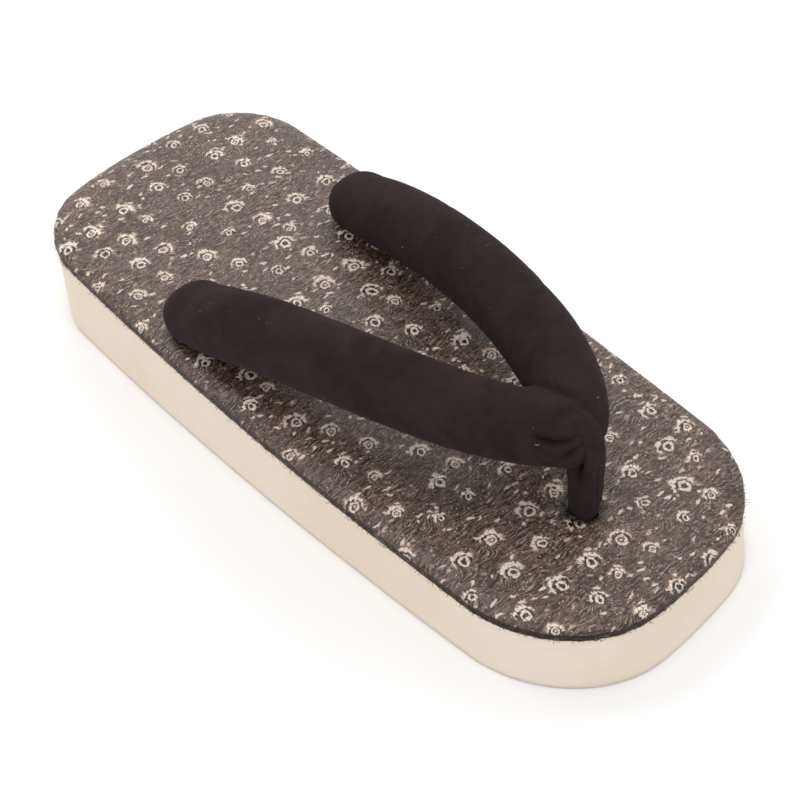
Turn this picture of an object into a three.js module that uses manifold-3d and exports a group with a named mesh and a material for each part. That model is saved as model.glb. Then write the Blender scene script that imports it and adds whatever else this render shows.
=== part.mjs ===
// Right-foot geta sandal: a solid wedge of wood under a padded cover, two padded strap arms that
// meet in a V, and a toe loop that ties the V down into the sole.
// Millimetres, +Z up, +Y from heel to toe, +X towards the little-toe side, floor at z = 0.
import * as THREE from 'three';
import { mergeVertices } from 'three/addons/utils/BufferGeometryUtils.js';
import Module from 'manifold-3d';

const wasm = await Module();
wasm.setup();

// ---- driving dimensions ----
const gap = 0.3; // air between curved neighbours

const sole = {
  length: 250, // across the top, heel to toe
  width: 102, // across the top at mid length
  centreX: -0.85, // where the top's middle stands over the floor outline's
  centreY: -2.03,
  midHeight: 24.2, // wood only, at mid length
  wedge: 5.3, // how far the heel end stands over mid height, and the toe end under it
  bottomChamfer: 0.8,
};

// How far the floor outline stands outside (+) or inside (-) the top outline.
const floorFlare = { toe: 4.0, heel: -1.8, lateral: 1.7, medial: -1.0 };

// Each side of the top outline, counter-clockwise from the little-toe side: bow is how far the
// middle of the side stands out past its own two ends.
const sides = {
  lateral: { bow: 4.9 },
  toe: { bow: 5.4 },
  medial: { bow: 3.2 },
  heel: { bow: 5.8 },
};
// Corner radii between those sides, and how far each corner leads (+) or trails (-) its end.
const corners = {
  toeLateral: { radius: 40.4, lead: 1.2 },
  toeMedial: { radius: 32.4, lead: -1.2 },
  heelMedial: { radius: 26.6, lead: 0.3 },
  heelLateral: { radius: 26.6, lead: -0.3 },
};
const endNarrowing = 0.8; // the toe end is this much narrower than the heel end, each side
const cornerTurn = 1.12; // the bowed sides turn this much more between a corner's two ends

const cover = {
  thickness: 4.4, // sheet and its padding together
  wall: 1.6, // upright part of its edge
  lift: 0.15, // glue line above the wood
};

const holes = {
  toe: { x: 0.2, y: 85.2 },
  lateral: { x: 36.4, y: -43.5 },
  medial: { x: -36.4, y: -45 },
};
const holeRadius = 6;
const recess = { radius: 11.5, depth: 11 }; // pocket under each hole, for the knot
const cordRadius = 4.4; // a strap's end where it goes through its hole
const knot = { radius: 8.2, height: 8, bottom: 1.6 };

// One padded arm, from its rounded rear end over its hole to the joint. wide and thick are half
// sizes, and lean is the degrees by which the outer edge is turned down. The other arm mirrors it.
const arm = [
  { y: -58.2, x: 35.6, z: 34.2, wide: 3.5, thick: 3.0, lean: 0 },
  { y: -56.8, x: 35.6, z: 34.4, wide: 7.0, thick: 5.8, lean: 0 },
  { y: -52.5, x: 35.6, z: 35.2, wide: 9.6, thick: 8.2, lean: 0 },
  { y: -44.0, x: 35.2, z: 37.4, wide: 10.8, thick: 9.6, lean: 5 },
  { y: -33.0, x: 34.2, z: 41.0, wide: 11.2, thick: 10.6, lean: 5 },
  { y: -16.5, x: 32.1, z: 45.6, wide: 11.4, thick: 11.0, lean: 5 },
  { y: 7.5, x: 28.6, z: 50.0, wide: 11.5, thick: 11.0, lean: 0 },
  { y: 33.0, x: 23.2, z: 52.6, wide: 11.5, thick: 10.6, lean: -5 },
  { y: 57.3, x: 15.0, z: 53.2, wide: 11.3, thick: 10.2, lean: -12 },
  { y: 74.5, x: 6.0, z: 52.2, wide: 10.6, thick: 9.6, lean: -15 },
  { y: 81.5, x: 0.5, z: 51.4, wide: 9.2, thick: 8.6, lean: -12 },
  { y: 84.5, x: -2.5, z: 51.0, wide: 6.4, thick: 6.4, lean: -10 },
];
const armStart = { lateral: 2.4, medial: 0.4 }; // how far forward of the table each rear end is
const armStepsPerRow = 3;
const armSides = 20;
const padSquareness = 2.5; // 2 is an ellipse, more is boxier

// The loop's band runs round the joint in the middle plane, and its two strands go down.
const loop = {
  y: 79.2,
  z: 51.6,
  innerY: 7.6, // half sizes of its opening
  innerZ: 7.0,
  thickness: 3.4,
  width: 6.8,
  round: 1.1, // edge bevel
};
const strands = {
  front: [
    { x: 0.2, y: 88.4, z: 50, wide: 3.3, thick: 2.1 },
    { x: 0.2, y: 88.0, z: 40, wide: 3.5, thick: 2.4 },
    { x: 0.2, y: 87.3, z: 31, wide: 3.5, thick: 2.6 },
    { x: 0.2, y: 86.6, z: 24, wide: 3.2, thick: 2.6 },
    { x: 0.2, y: 86.4, z: 12, wide: 3.2, thick: 2.8 },
  ],
  back: [
    { x: 0.2, y: 78.5, z: 43.5, wide: 3.2, thick: 2.0 },
    { x: 0.2, y: 81.0, z: 38.5, wide: 3.3, thick: 2.3 },
    { x: 0.2, y: 82.9, z: 31, wide: 3.4, thick: 2.4 },
    { x: 0.2, y: 83.8, z: 24, wide: 3.2, thick: 2.6 },
    { x: 0.2, y: 84.0, z: 12, wide: 3.2, thick: 2.8 },
  ],
};
const crotchRadius = 4.6; // the V's inner corner, behind the loop

// ---- solids and booleans ----
function toSolid(geometry) {
  const bare = geometry.clone();
  bare.deleteAttribute('normal');
  bare.deleteAttribute('uv');
  const merged = mergeVertices(bare, 1e-4);
  return new wasm.Manifold(new wasm.Mesh({
    numProp: 3,
    vertProperties: new Float32Array(merged.attributes.position.array),
    triVerts: new Uint32Array(merged.index.array),
  }));
}

function toGeometry(solid) {
  const mesh = solid.getMesh();
  const geometry = new THREE.BufferGeometry();
  geometry.setAttribute('position', new THREE.BufferAttribute(mesh.vertProperties, 3));
  geometry.setIndex(new THREE.BufferAttribute(mesh.triVerts, 1));
  geometry.computeVertexNormals();
  return geometry;
}

// A closed skin over rings of equal length. Each ring runs counter-clockwise seen from the last.
function loft(rings) {
  const count = rings[0].length;
  const points = rings.flat();
  const index = [];
  for (let r = 0; r + 1 < rings.length; r += 1) {
    for (let i = 0; i < count; i += 1) {
      const a = r * count + i;
      const b = r * count + (i + 1) % count;
      index.push(a, b, b + count, a, b + count, a + count);
    }
  }
  const caps = [[0, true], [(rings.length - 1) * count, false]];
  for (const [start, isFirst] of caps) {
    const middle = new THREE.Vector3();
    for (let i = 0; i < count; i += 1) middle.addScaledVector(points[start + i], 1 / count);
    const centre = points.push(middle) - 1;
    for (let i = 0; i < count; i += 1) {
      const a = start + i;
      const b = start + (i + 1) % count;
      index.push(...(isFirst ? [centre, b, a] : [centre, a, b]));
    }
  }
  const geometry = new THREE.BufferGeometry().setFromPoints(points);
  geometry.setIndex(index);
  return geometry;
}

// An upright cylinder between two heights.
function upright(x, y, radius, low, high) {
  const shape = new THREE.CylinderGeometry(radius, radius, high - low, 32);
  shape.rotateX(Math.PI / 2);
  shape.translate(x, y, (low + high) / 2);
  return toSolid(shape);
}

// ---- sole outline ----
// The top outline about its own middle: four bowed sides with their ends rounded into corners.
function topOutline() {
  const halfWidth = sole.width / 2;
  const halfLength = sole.length / 2;
  const at = (x, y) => new THREE.Vector2(x, y);
  const toeY = halfLength - sides.toe.bow;
  const heelY = -halfLength + sides.heel.bow;
  const lateralX = halfWidth - sides.lateral.bow;
  const medialX = -halfWidth + sides.medial.bow;
  const tips = {
    heelLateral: at(lateralX + endNarrowing, heelY + corners.heelLateral.lead),
    toeLateral: at(lateralX - endNarrowing, toeY + corners.toeLateral.lead),
    toeMedial: at(medialX + endNarrowing, toeY + corners.toeMedial.lead),
    heelMedial: at(medialX - endNarrowing, heelY + corners.heelMedial.lead),
  };
  const order = ['heelLateral', 'toeLateral', 'toeMedial', 'heelMedial'];
  const bows = [sides.lateral.bow, sides.toe.bow, sides.medial.bow, sides.heel.bow];
  const edges = order.map((name, i) => {
    const from = tips[name];
    const to = tips[order[(i + 1) % 4]];
    const along = to.clone().sub(from).normalize();
    const out = at(along.y, -along.x);
    const pull = from.clone().add(to).multiplyScalar(0.5).addScaledVector(out, 2 * bows[i]);
    return new THREE.QuadraticBezierCurve(from, pull, to);
  });
  const sideSteps = 8;
  const cornerSteps = 9;
  const points = [];
  // How far along its two sides a corner's rounding reaches, and its Bezier handles.
  const rounding = order.map((name, i) => {
    const arriving = edges[(i + 3) % 4].getTangentAt(1);
    const turn = Math.acos(arriving.dot(edges[i].getTangentAt(0))) * cornerTurn;
    const radius = corners[name].radius;
    return { reach: radius * Math.tan(turn / 2), handle: radius * Math.tan(turn / 4) * 4 / 3 };
  });
  for (let i = 0; i < 4; i += 1) {
    const edge = edges[i];
    const next = edges[(i + 1) % 4];
    const here = rounding[i].reach / edge.getLength();
    const corner = rounding[(i + 1) % 4];
    const there = 1 - corner.reach / edge.getLength();
    const after = corner.reach / next.getLength();
    for (let s = 0; s < sideSteps; s += 1) {
      points.push(edge.getPointAt(THREE.MathUtils.lerp(here, there, s / sideSteps)));
    }
    const from = edge.getPointAt(there);
    const to = next.getPointAt(after);
    const fromPull = from.clone().addScaledVector(edge.getTangentAt(there), corner.handle);
    const toPull = to.clone().addScaledVector(next.getTangentAt(after), -corner.handle);
    const bend = new THREE.CubicBezierCurve(from, fromPull, toPull, to);
    for (let s = 0; s < cornerSteps; s += 1) points.push(bend.getPoint(s / cornerSteps));
  }
  return points;
}

// The same outline moved in by a distance, measured square to it.
function inset(outline, distance) {
  const count = outline.length;
  return outline.map((point, i) => {
    const before = outline[(i + count - 1) % count];
    const after = outline[(i + 1) % count];
    const along = after.clone().sub(before).normalize();
    return point.clone().add(new THREE.Vector2(-along.y, along.x).multiplyScalar(distance));
  });
}

// The floor outline: each point of the top's moved out by the flare of its own side.
function floorOutline(outline) {
  return outline.map((point) => {
    const u = point.x / (sole.width / 2);
    const v = point.y / (sole.length / 2);
    const flareX = u > 0 ? floorFlare.lateral : floorFlare.medial;
    const flareY = v > 0 ? floorFlare.toe : floorFlare.heel;
    return new THREE.Vector2(point.x + flareX * u, point.y + flareY * v);
  });
}

function woodTop(y) {
  return sole.midHeight - sole.wedge * (y - sole.centreY) / (sole.length / 2);
}

// A ring in the sole's place. height is a number, or a function of y.
function soleRing(outline, height) {
  return outline.map((point) => {
    const x = point.x + sole.centreX;
    const y = point.y + sole.centreY;
    return new THREE.Vector3(x, y, typeof height === 'number' ? height : height(y));
  });
}

// ---- pieces ----
function makeBase() {
  const top = topOutline();
  const floor = floorOutline(top);
  let block = toSolid(loft([
    soleRing(inset(floor, sole.bottomChamfer), 0),
    soleRing(floor, sole.bottomChamfer),
    soleRing(top, woodTop),
  ]));
  const above = sole.midHeight + 2 * sole.wedge;
  for (const hole of Object.values(holes)) {
    block = block.subtract(upright(hole.x, hole.y, holeRadius, -1, above));
    block = block.subtract(upright(hole.x, hole.y, recess.radius, -1, recess.depth));
  }
  return toGeometry(block);
}

// The cover, with grow added to its thickness and taken off its holes.
function coverSolid(grow) {
  const top = topOutline();
  const shoulder = cover.thickness - cover.wall;
  const heightOver = (rise) => (y) => woodTop(y) + cover.lift + rise;
  const rings = [soleRing(top, heightOver(0))];
  const shoulderSteps = 5;
  for (let s = 0; s <= shoulderSteps; s += 1) {
    const turn = Math.PI / 2 * s / shoulderSteps;
    const moved = inset(top, shoulder * (1 - Math.cos(turn)));
    rings.push(soleRing(moved, heightOver(cover.wall + grow + shoulder * Math.sin(turn))));
  }
  let sheet = toSolid(loft(rings));
  const above = sole.midHeight + 2 * sole.wedge + cover.thickness;
  for (const hole of Object.values(holes)) {
    sheet = sheet.subtract(upright(hole.x, hole.y, holeRadius - grow, 0, above));
  }
  return sheet;
}

// A padded tube through table rows. side is 1, or -1 for the mirror image.
function sweep(rows, side, stepsPerRow, sectionSides, squareness) {
  const path = new THREE.CatmullRomCurve3(
    rows.map((row) => new THREE.Vector3(row.x, row.y, row.z)),
    false,
    'centripetal',
  );
  const steps = (rows.length - 1) * stepsPerRow;
  const rings = [];
  const size = (name, place) => {
    const low = Math.min(Math.floor(place), rows.length - 2);
    const from = rows[low][name] ?? 0;
    const to = rows[low + 1][name] ?? 0;
    return THREE.MathUtils.lerp(from, to, place - low);
  };
  for (let s = 0; s <= steps; s += 1) {
    const centre = path.getPoint(s / steps);
    const along = path.getTangent(s / steps);
    const place = s / stepsPerRow;
    const out = new THREE.Vector3(1, 0, 0);
    out.addScaledVector(along, -out.dot(along)).normalize();
    const lean = THREE.MathUtils.degToRad(-size('lean', place));
    out.applyAxisAngle(along, -lean);
    const up = out.clone().cross(along);
    const ring = [];
    for (let i = 0; i < sectionSides; i += 1) {
      const turn = 2 * Math.PI * i / sectionSides;
      const c = Math.cos(turn);
      const d = Math.sin(turn);
      const point = centre.clone();
      point.addScaledVector(out, size('wide', place) * Math.sign(c) * Math.abs(c) ** (2 / squareness));
      point.addScaledVector(up, size('thick', place) * Math.sign(d) * Math.abs(d) ** (2 / squareness));
      point.x *= side;
      ring.push(point);
    }
    rings.push(side > 0 ? ring.reverse() : ring);
  }
  return toSolid(loft(rings));
}

function makeKnot(hole) {
  const ball = new THREE.SphereGeometry(1, 20, 12);
  ball.rotateX(Math.PI / 2);
  ball.scale(knot.radius, knot.radius, knot.height / 2);
  ball.translate(hole.x, hole.y, knot.bottom + knot.height / 2);
  return toSolid(ball);
}

// The loop's band: an oval ring in the plane x = 0, with grow added all round.
function makeBand(grow) {
  const outline = new THREE.Shape();
  const outerY = loop.innerY + loop.thickness + grow - loop.round;
  const outerZ = loop.innerZ + loop.thickness + grow - loop.round;
  outline.absellipse(0, 0, outerY, outerZ, 0, 2 * Math.PI, false, 0);
  const opening = new THREE.Path();
  const innerY = loop.innerY - grow + loop.round;
  const innerZ = loop.innerZ - grow + loop.round;
  opening.absellipse(0, 0, innerY, innerZ, 0, 2 * Math.PI, true, 0);
  outline.holes.push(opening);
  const width = loop.width + 2 * grow;
  const band = new THREE.ExtrudeGeometry(outline, {
    depth: width - 2 * loop.round,
    steps: 1,
    curveSegments: 28,
    bevelEnabled: true,
    bevelThickness: loop.round,
    bevelSize: loop.round,
    bevelSegments: 2,
  });
  band.translate(0, 0, -(width - 2 * loop.round) / 2);
  band.rotateZ(Math.PI / 2);
  band.rotateY(Math.PI / 2);
  band.translate(holes.toe.x, loop.y, loop.z);
  return toSolid(band);
}

function makeLoop(grow) {
  const widen = (row) => ({ ...row, wide: row.wide + grow, thick: row.thick + grow });
  let solid = makeBand(grow);
  solid = solid.add(sweep(strands.front.map(widen), 1, 2, 14, 2.6));
  solid = solid.add(sweep(strands.back.map(widen), 1, 2, 14, 2.6));
  return solid;
}

function makeToeLoop() {
  const cord = upright(holes.toe.x, holes.toe.y, cordRadius, knot.bottom + 3, 22);
  return toGeometry(makeLoop(0).add(cord).add(makeKnot(holes.toe)));
}

// The arm's table with its rear end moved forward by start, fading out towards the joint.
function armRows(start) {
  const rear = arm[0].y;
  const front = arm[arm.length - 1].y;
  return arm.map((row) => ({ ...row, y: row.y + start * (front - row.y) / (front - rear) }));
}

function makeUpper() {
  let straps = sweep(armRows(armStart.lateral), 1, armStepsPerRow, armSides, padSquareness);
  straps = straps.add(sweep(armRows(armStart.medial), -1, armStepsPerRow, armSides, padSquareness));
  const crotchY = loop.y - loop.innerY - crotchRadius;
  straps = straps.subtract(upright(holes.toe.x, crotchY, crotchRadius, 30, 80));
  straps = straps.subtract(makeLoop(gap));
  straps = straps.subtract(coverSolid(gap)); // the arms' ends lie flat on the cover
  for (const hole of [holes.lateral, holes.medial]) {
    const cordTop = sole.midHeight + sole.wedge + cover.thickness;
    straps = straps.add(upright(hole.x, hole.y, cordRadius, knot.bottom + 3, cordTop));
    straps = straps.add(makeKnot(hole));
  }
  return toGeometry(straps);
}

// ---- assembly ----
function piece(name, geometry, color, roughness) {
  const material = new THREE.MeshStandardMaterial({ color, roughness, metalness: 0 });
  const mesh = new THREE.Mesh(geometry, material);
  mesh.name = name;
  return mesh;
}

const sandal = new THREE.Group();
sandal.add(piece('wooden_base', makeBase(), '#e4d2b8', 0.7));
sandal.add(piece('top_cover', toGeometry(coverSolid(0)), '#4a4039', 0.35));
sandal.add(piece('strap_upper', makeUpper(), '#2b2426', 0.95));
sandal.add(piece('toe_loop', makeToeLoop(), '#2b2426', 0.95));

export default sandal;
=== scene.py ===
import bpy
import bmesh
import math
import numpy as np
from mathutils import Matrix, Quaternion, Vector, geometry, noise


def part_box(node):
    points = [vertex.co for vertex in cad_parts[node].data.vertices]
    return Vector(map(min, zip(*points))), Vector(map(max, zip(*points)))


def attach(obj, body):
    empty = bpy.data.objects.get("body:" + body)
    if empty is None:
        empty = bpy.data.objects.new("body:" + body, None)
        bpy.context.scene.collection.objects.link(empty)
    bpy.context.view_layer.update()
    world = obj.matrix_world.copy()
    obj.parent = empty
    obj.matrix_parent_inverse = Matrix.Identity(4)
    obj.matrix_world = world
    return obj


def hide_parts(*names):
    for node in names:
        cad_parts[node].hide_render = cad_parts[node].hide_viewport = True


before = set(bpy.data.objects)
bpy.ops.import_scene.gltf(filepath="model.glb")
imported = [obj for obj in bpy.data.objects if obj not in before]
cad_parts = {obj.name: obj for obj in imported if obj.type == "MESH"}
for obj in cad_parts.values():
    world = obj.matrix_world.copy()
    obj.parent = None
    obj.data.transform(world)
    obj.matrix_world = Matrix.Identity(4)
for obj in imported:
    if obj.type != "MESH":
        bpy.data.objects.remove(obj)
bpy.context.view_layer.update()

mm = 0.001
print("frame loaded")

# camera, light and floor
cameraLook = {
    "place": (0.2417, 0.2833, 0.4121),
    "target": (0.0063, 0.0147, 0.0200),
    "lens": 77.2,
    "roll": 3.1,  # degrees, clockwise
}

lampLook = {
    # soft boxes: place, size and watts
    "backSoft": {"place": (-0.50, -0.72, 0.66), "size": 0.50, "power": 1.1},
    "sideSoft": {"place": (-0.52, -0.10, 0.86), "size": 0.30, "power": 0.5},
    "shoulderSoft": {"place": (0.10, -0.62, 0.98), "size": 0.20, "power": 1.2},
    "topSoft": {"place": (0.05, 0.03, 1.34), "size": 0.36, "power": 3.6},
}

roomLook = {
    "horizon": (1.0, 0.99, 0.975),
    "overhead": (0.68, 0.69, 0.705),
    "strength": 1.18,
    "floor": (0.870, 0.866, 0.862),
    "floorSize": 40.0,
}


def aimed(place, target):
    return (Vector(target) - Vector(place)).to_track_quat("-Z", "Y")


def makeCamera():
    look = cameraLook
    data = bpy.data.cameras.new("camera")
    data.lens = look["lens"]
    data.clip_start = 0.01
    camera = bpy.data.objects.new("camera", data)
    camera.location = look["place"]
    camera.rotation_mode = "QUATERNION"
    turn = Quaternion((0, 0, 1), math.radians(-look["roll"]))
    camera.rotation_quaternion = aimed(look["place"], look["target"]) @ turn
    bpy.context.scene.collection.objects.link(camera)
    bpy.context.scene.camera = camera


def makeLamps():
    for name, look in lampLook.items():
        data = bpy.data.lights.new(name, "AREA")
        data.size = look["size"]
        data.energy = look["power"]
        lamp = bpy.data.objects.new(name, data)
        lamp.location = look["place"]
        lamp.rotation_mode = "QUATERNION"
        lamp.rotation_quaternion = aimed(look["place"], (0, 0, 0.02))
        bpy.context.scene.collection.objects.link(lamp)


def makeRoom():
    world = bpy.data.worlds.new("room")
    bpy.context.scene.world = world
    world.use_nodes = True
    tree = world.node_tree
    background = tree.nodes["Background"]
    background.inputs["Strength"].default_value = roomLook["strength"]
    place = tree.nodes.new("ShaderNodeTexCoord")
    split = tree.nodes.new("ShaderNodeSeparateXYZ")
    blend = tree.nodes.new("ShaderNodeMix")
    blend.data_type = "RGBA"
    blend.inputs["A"].default_value = (*roomLook["horizon"], 1)
    blend.inputs["B"].default_value = (*roomLook["overhead"], 1)
    tree.links.new(place.outputs["Generated"], split.inputs[0])
    tree.links.new(split.outputs["Z"], blend.inputs["Factor"])
    tree.links.new(blend.outputs["Result"], background.inputs["Color"])


def makeFloor():
    half = roomLook["floorSize"] / 2
    mesh = bpy.data.meshes.new("floor")
    corners = [(-half, -half, 0), (half, -half, 0), (half, half, 0), (-half, half, 0)]
    mesh.from_pydata(corners, [], [(0, 1, 2, 3)])
    floor = bpy.data.objects.new("floor", mesh)
    bpy.context.scene.collection.objects.link(floor)
    material = bpy.data.materials.new("floorWhite")
    material.use_nodes = True
    shader = material.node_tree.nodes["Principled BSDF"]
    shader.inputs["Base Color"].default_value = (*roomLook["floor"], 1)
    shader.inputs["Roughness"].default_value = 0.85
    mesh.materials.append(material)


makeCamera()
makeLamps()
makeRoom()
makeFloor()
bpy.context.scene.view_settings.view_transform = "Standard"
print("camera, lamps and floor made")


# small helpers for node trees
def feed(socket, value):
    if isinstance(value, bpy.types.NodeSocket):
        socket.id_data.links.new(value, socket)
    else:
        socket.default_value = value


def newNode(kind, *values):
    # a node in the tree that the sockets among the values belong to
    tree = next(value.id_data for value in values if isinstance(value, bpy.types.NodeSocket))
    return tree.nodes.new(kind)


def sums(operation, *values):
    node = newNode("ShaderNodeMath", *values)
    node.operation = operation
    for socket, value in zip(node.inputs, values):
        feed(socket, value)
    return node.outputs[0]


def plus(first, second):
    return sums("ADD", first, second)


def minus(first, second):
    return sums("SUBTRACT", first, second)


def times(first, second):
    return sums("MULTIPLY", first, second)


def timesPlus(first, second, third):
    return sums("MULTIPLY_ADD", first, second, third)


def divided(first, second):
    return sums("DIVIDE", first, second)


def larger(first, second):
    return sums("MAXIMUM", first, second)


def vectors(operation, *values):
    node = newNode("ShaderNodeVectorMath", *values)
    node.operation = operation
    for socket, value in zip(node.inputs, values):
        feed(socket, value)
    return node.outputs[0]


def scaled(vector, scale):
    node = newNode("ShaderNodeVectorMath", vector)
    node.operation = "SCALE"
    feed(node.inputs[0], vector)
    feed(node.inputs["Scale"], scale)
    return node.outputs[0]


def lengthOf(vector):
    node = newNode("ShaderNodeVectorMath", vector)
    node.operation = "LENGTH"
    feed(node.inputs[0], vector)
    return node.outputs["Value"]


def ease(value, low, high, lowOut=0.0, highOut=1.0):
    # a smooth step from one value to another
    node = newNode("ShaderNodeMapRange", value)
    node.interpolation_type = "SMOOTHSTEP"
    names = ("Value", "From Min", "From Max", "To Min", "To Max")
    for name, setting in zip(names, (value, low, high, lowOut, highOut)):
        feed(node.inputs[name], setting)
    return node.outputs[0]


def cloud(vector, scale, detail=2.0, roughness=0.5, distortion=0.0, output="Fac"):
    node = newNode("ShaderNodeTexNoise", vector)
    names = ("Vector", "Scale", "Detail", "Roughness", "Distortion")
    for name, setting in zip(names, (vector, scale, detail, roughness, distortion)):
        feed(node.inputs[name], setting)
    return node.outputs[output]


def cells(vector, scale, randomness=1.0, feature="F1", flat=True):
    node = newNode("ShaderNodeTexVoronoi", vector)
    node.voronoi_dimensions = "2D" if flat else "3D"
    node.feature = feature
    for name, setting in (("Vector", vector), ("Scale", scale), ("Randomness", randomness)):
        feed(node.inputs[name], setting)
    return node.outputs


def split3(vector):
    node = newNode("ShaderNodeSeparateXYZ", vector)
    feed(node.inputs[0], vector)
    return node.outputs


def join3(x, y, z=0.0):
    node = newNode("ShaderNodeCombineXYZ", x, y, z)
    for socket, value in zip(node.inputs, (x, y, z)):
        feed(socket, value)
    return node.outputs[0]


def turned2(vector, angle):
    node = newNode("ShaderNodeVectorRotate", vector)
    node.rotation_type = "Z_AXIS"
    feed(node.inputs["Vector"], vector)
    feed(node.inputs["Angle"], angle)
    return node.outputs[0]


def tint(factor, first, second):
    node = newNode("ShaderNodeMix", factor)
    node.data_type = "RGBA"
    feed(node.inputs["Factor"], factor)
    for name, value in (("A", first), ("B", second)):
        feed(node.inputs[name], value if isinstance(value, bpy.types.NodeSocket) else (*value, 1))
    return node.outputs["Result"]


def bump(height, distance, strength):
    node = newNode("ShaderNodeBump", height)
    for name, value in (("Strength", strength), ("Distance", distance), ("Height", height)):
        feed(node.inputs[name], value)
    return node.outputs[0]


def newGroup(name, inputs, outputs):
    group = bpy.data.node_groups.new(name, "ShaderNodeTree")
    for label, kind, value in inputs:
        socket = group.interface.new_socket(label, in_out="INPUT", socket_type=kind)
        if value is not None:
            socket.default_value = value
    for label in outputs:
        group.interface.new_socket(label, in_out="OUTPUT", socket_type="NodeSocketFloat")
    return group, group.nodes.new("NodeGroupInput").outputs, group.nodes.new("NodeGroupOutput").inputs


def useGroup(group, **values):
    node = newNode("ShaderNodeGroup", *values.values())
    node.node_tree = group
    for name, value in values.items():
        feed(node.inputs[name], value)
    return node.outputs


def newMaterial(name, rough=None):
    # the material, its shader's sockets, and the place on the piece in millimetres
    material = bpy.data.materials.new(name)
    material.use_nodes = True
    sockets = material.node_tree.nodes["Principled BSDF"].inputs
    if rough is not None:
        sockets["Roughness"].default_value = rough
    place = material.node_tree.nodes.new("ShaderNodeTexCoord").outputs["Object"]
    return material, sockets, scaled(place, 1000.0)


# where the straps go through the sole, in metres
holes = {
    "toe": (0.0002, 0.0852),
    "lateral": (0.0364, -0.0435),
    "medial": (-0.0364, -0.0450),
}


# shared shader groups
def makeFineDust():
    # sparse pale specks in cloth
    group, given, result = newGroup(
        "fineDust",
        [("Place", "NodeSocketVector", None), ("Scale", "NodeSocketFloat", 0.5),
         ("Amount", "NodeSocketFloat", 0.1)],
        ["Mask"],
    )
    place = scaled(given["Place"], given["Scale"])
    spots = cells(place, 1.0, flat=False)
    chosen = sums("LESS_THAN", split3(spots["Color"])[0], given["Amount"])
    near = ease(spots["Distance"], 0.03, 0.11, 1.0, 0.0)
    feed(result["Mask"], times(chosen, near))
    return group


def makeFineNap():
    # the short nap of brushed cloth: colour and height together
    group, given, result = newGroup(
        "fineNap",
        [("Place", "NodeSocketVector", None), ("Scale", "NodeSocketFloat", 1.0)],
        ["Shade", "Height"],
    )
    place = scaled(given["Place"], given["Scale"])
    pile = cloud(place, 3.2, 3.0, 0.6)
    brushed = cloud(place, 0.16, 3.0, 0.55, 0.6)
    patch = cloud(place, 0.045, 2.0)
    shade = timesPlus(brushed, 0.5, times(patch, 0.5))
    feed(result["Shade"], timesPlus(pile, 0.25, shade))
    feed(result["Height"], timesPlus(brushed, 0.8, pile))
    return group


# The cover's print: staggered small rings, each with a frayed arch on its heel side, and
# dabs scattered between them. All sizes are millimetres on the flat sheet.
printLook = {
    "pitchAcross": 12.9,
    "pitchAlong": 12.0,
    "stray": 0.42,
    "shake": (1.5, 1.3),  # coarse and fine wander of the hand
    "lean": (0.12, 1.12),  # the arches lean to the inner side by an angle between these
    "leanAlong": -0.0022,  # and more so towards the heel
    "size": (0.61, 1.03),
    "ringRadius": 1.42,
    "ringLine": 0.42,
    "archRadius": 2.85,
    "archLine": 0.60,
    "frillReach": 4.4,
    "pit": (2.2, 2.8),  # the dark between a ring and its arch ends here
    "dabPitch": 3.5,
    "speckPitch": 1.25,
    "linePitch": 1.05,
    "lineDrift": 9.0,
    "hill": (5.4, 4.2),  # reach and height of the lines' bend round a ring
}


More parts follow.
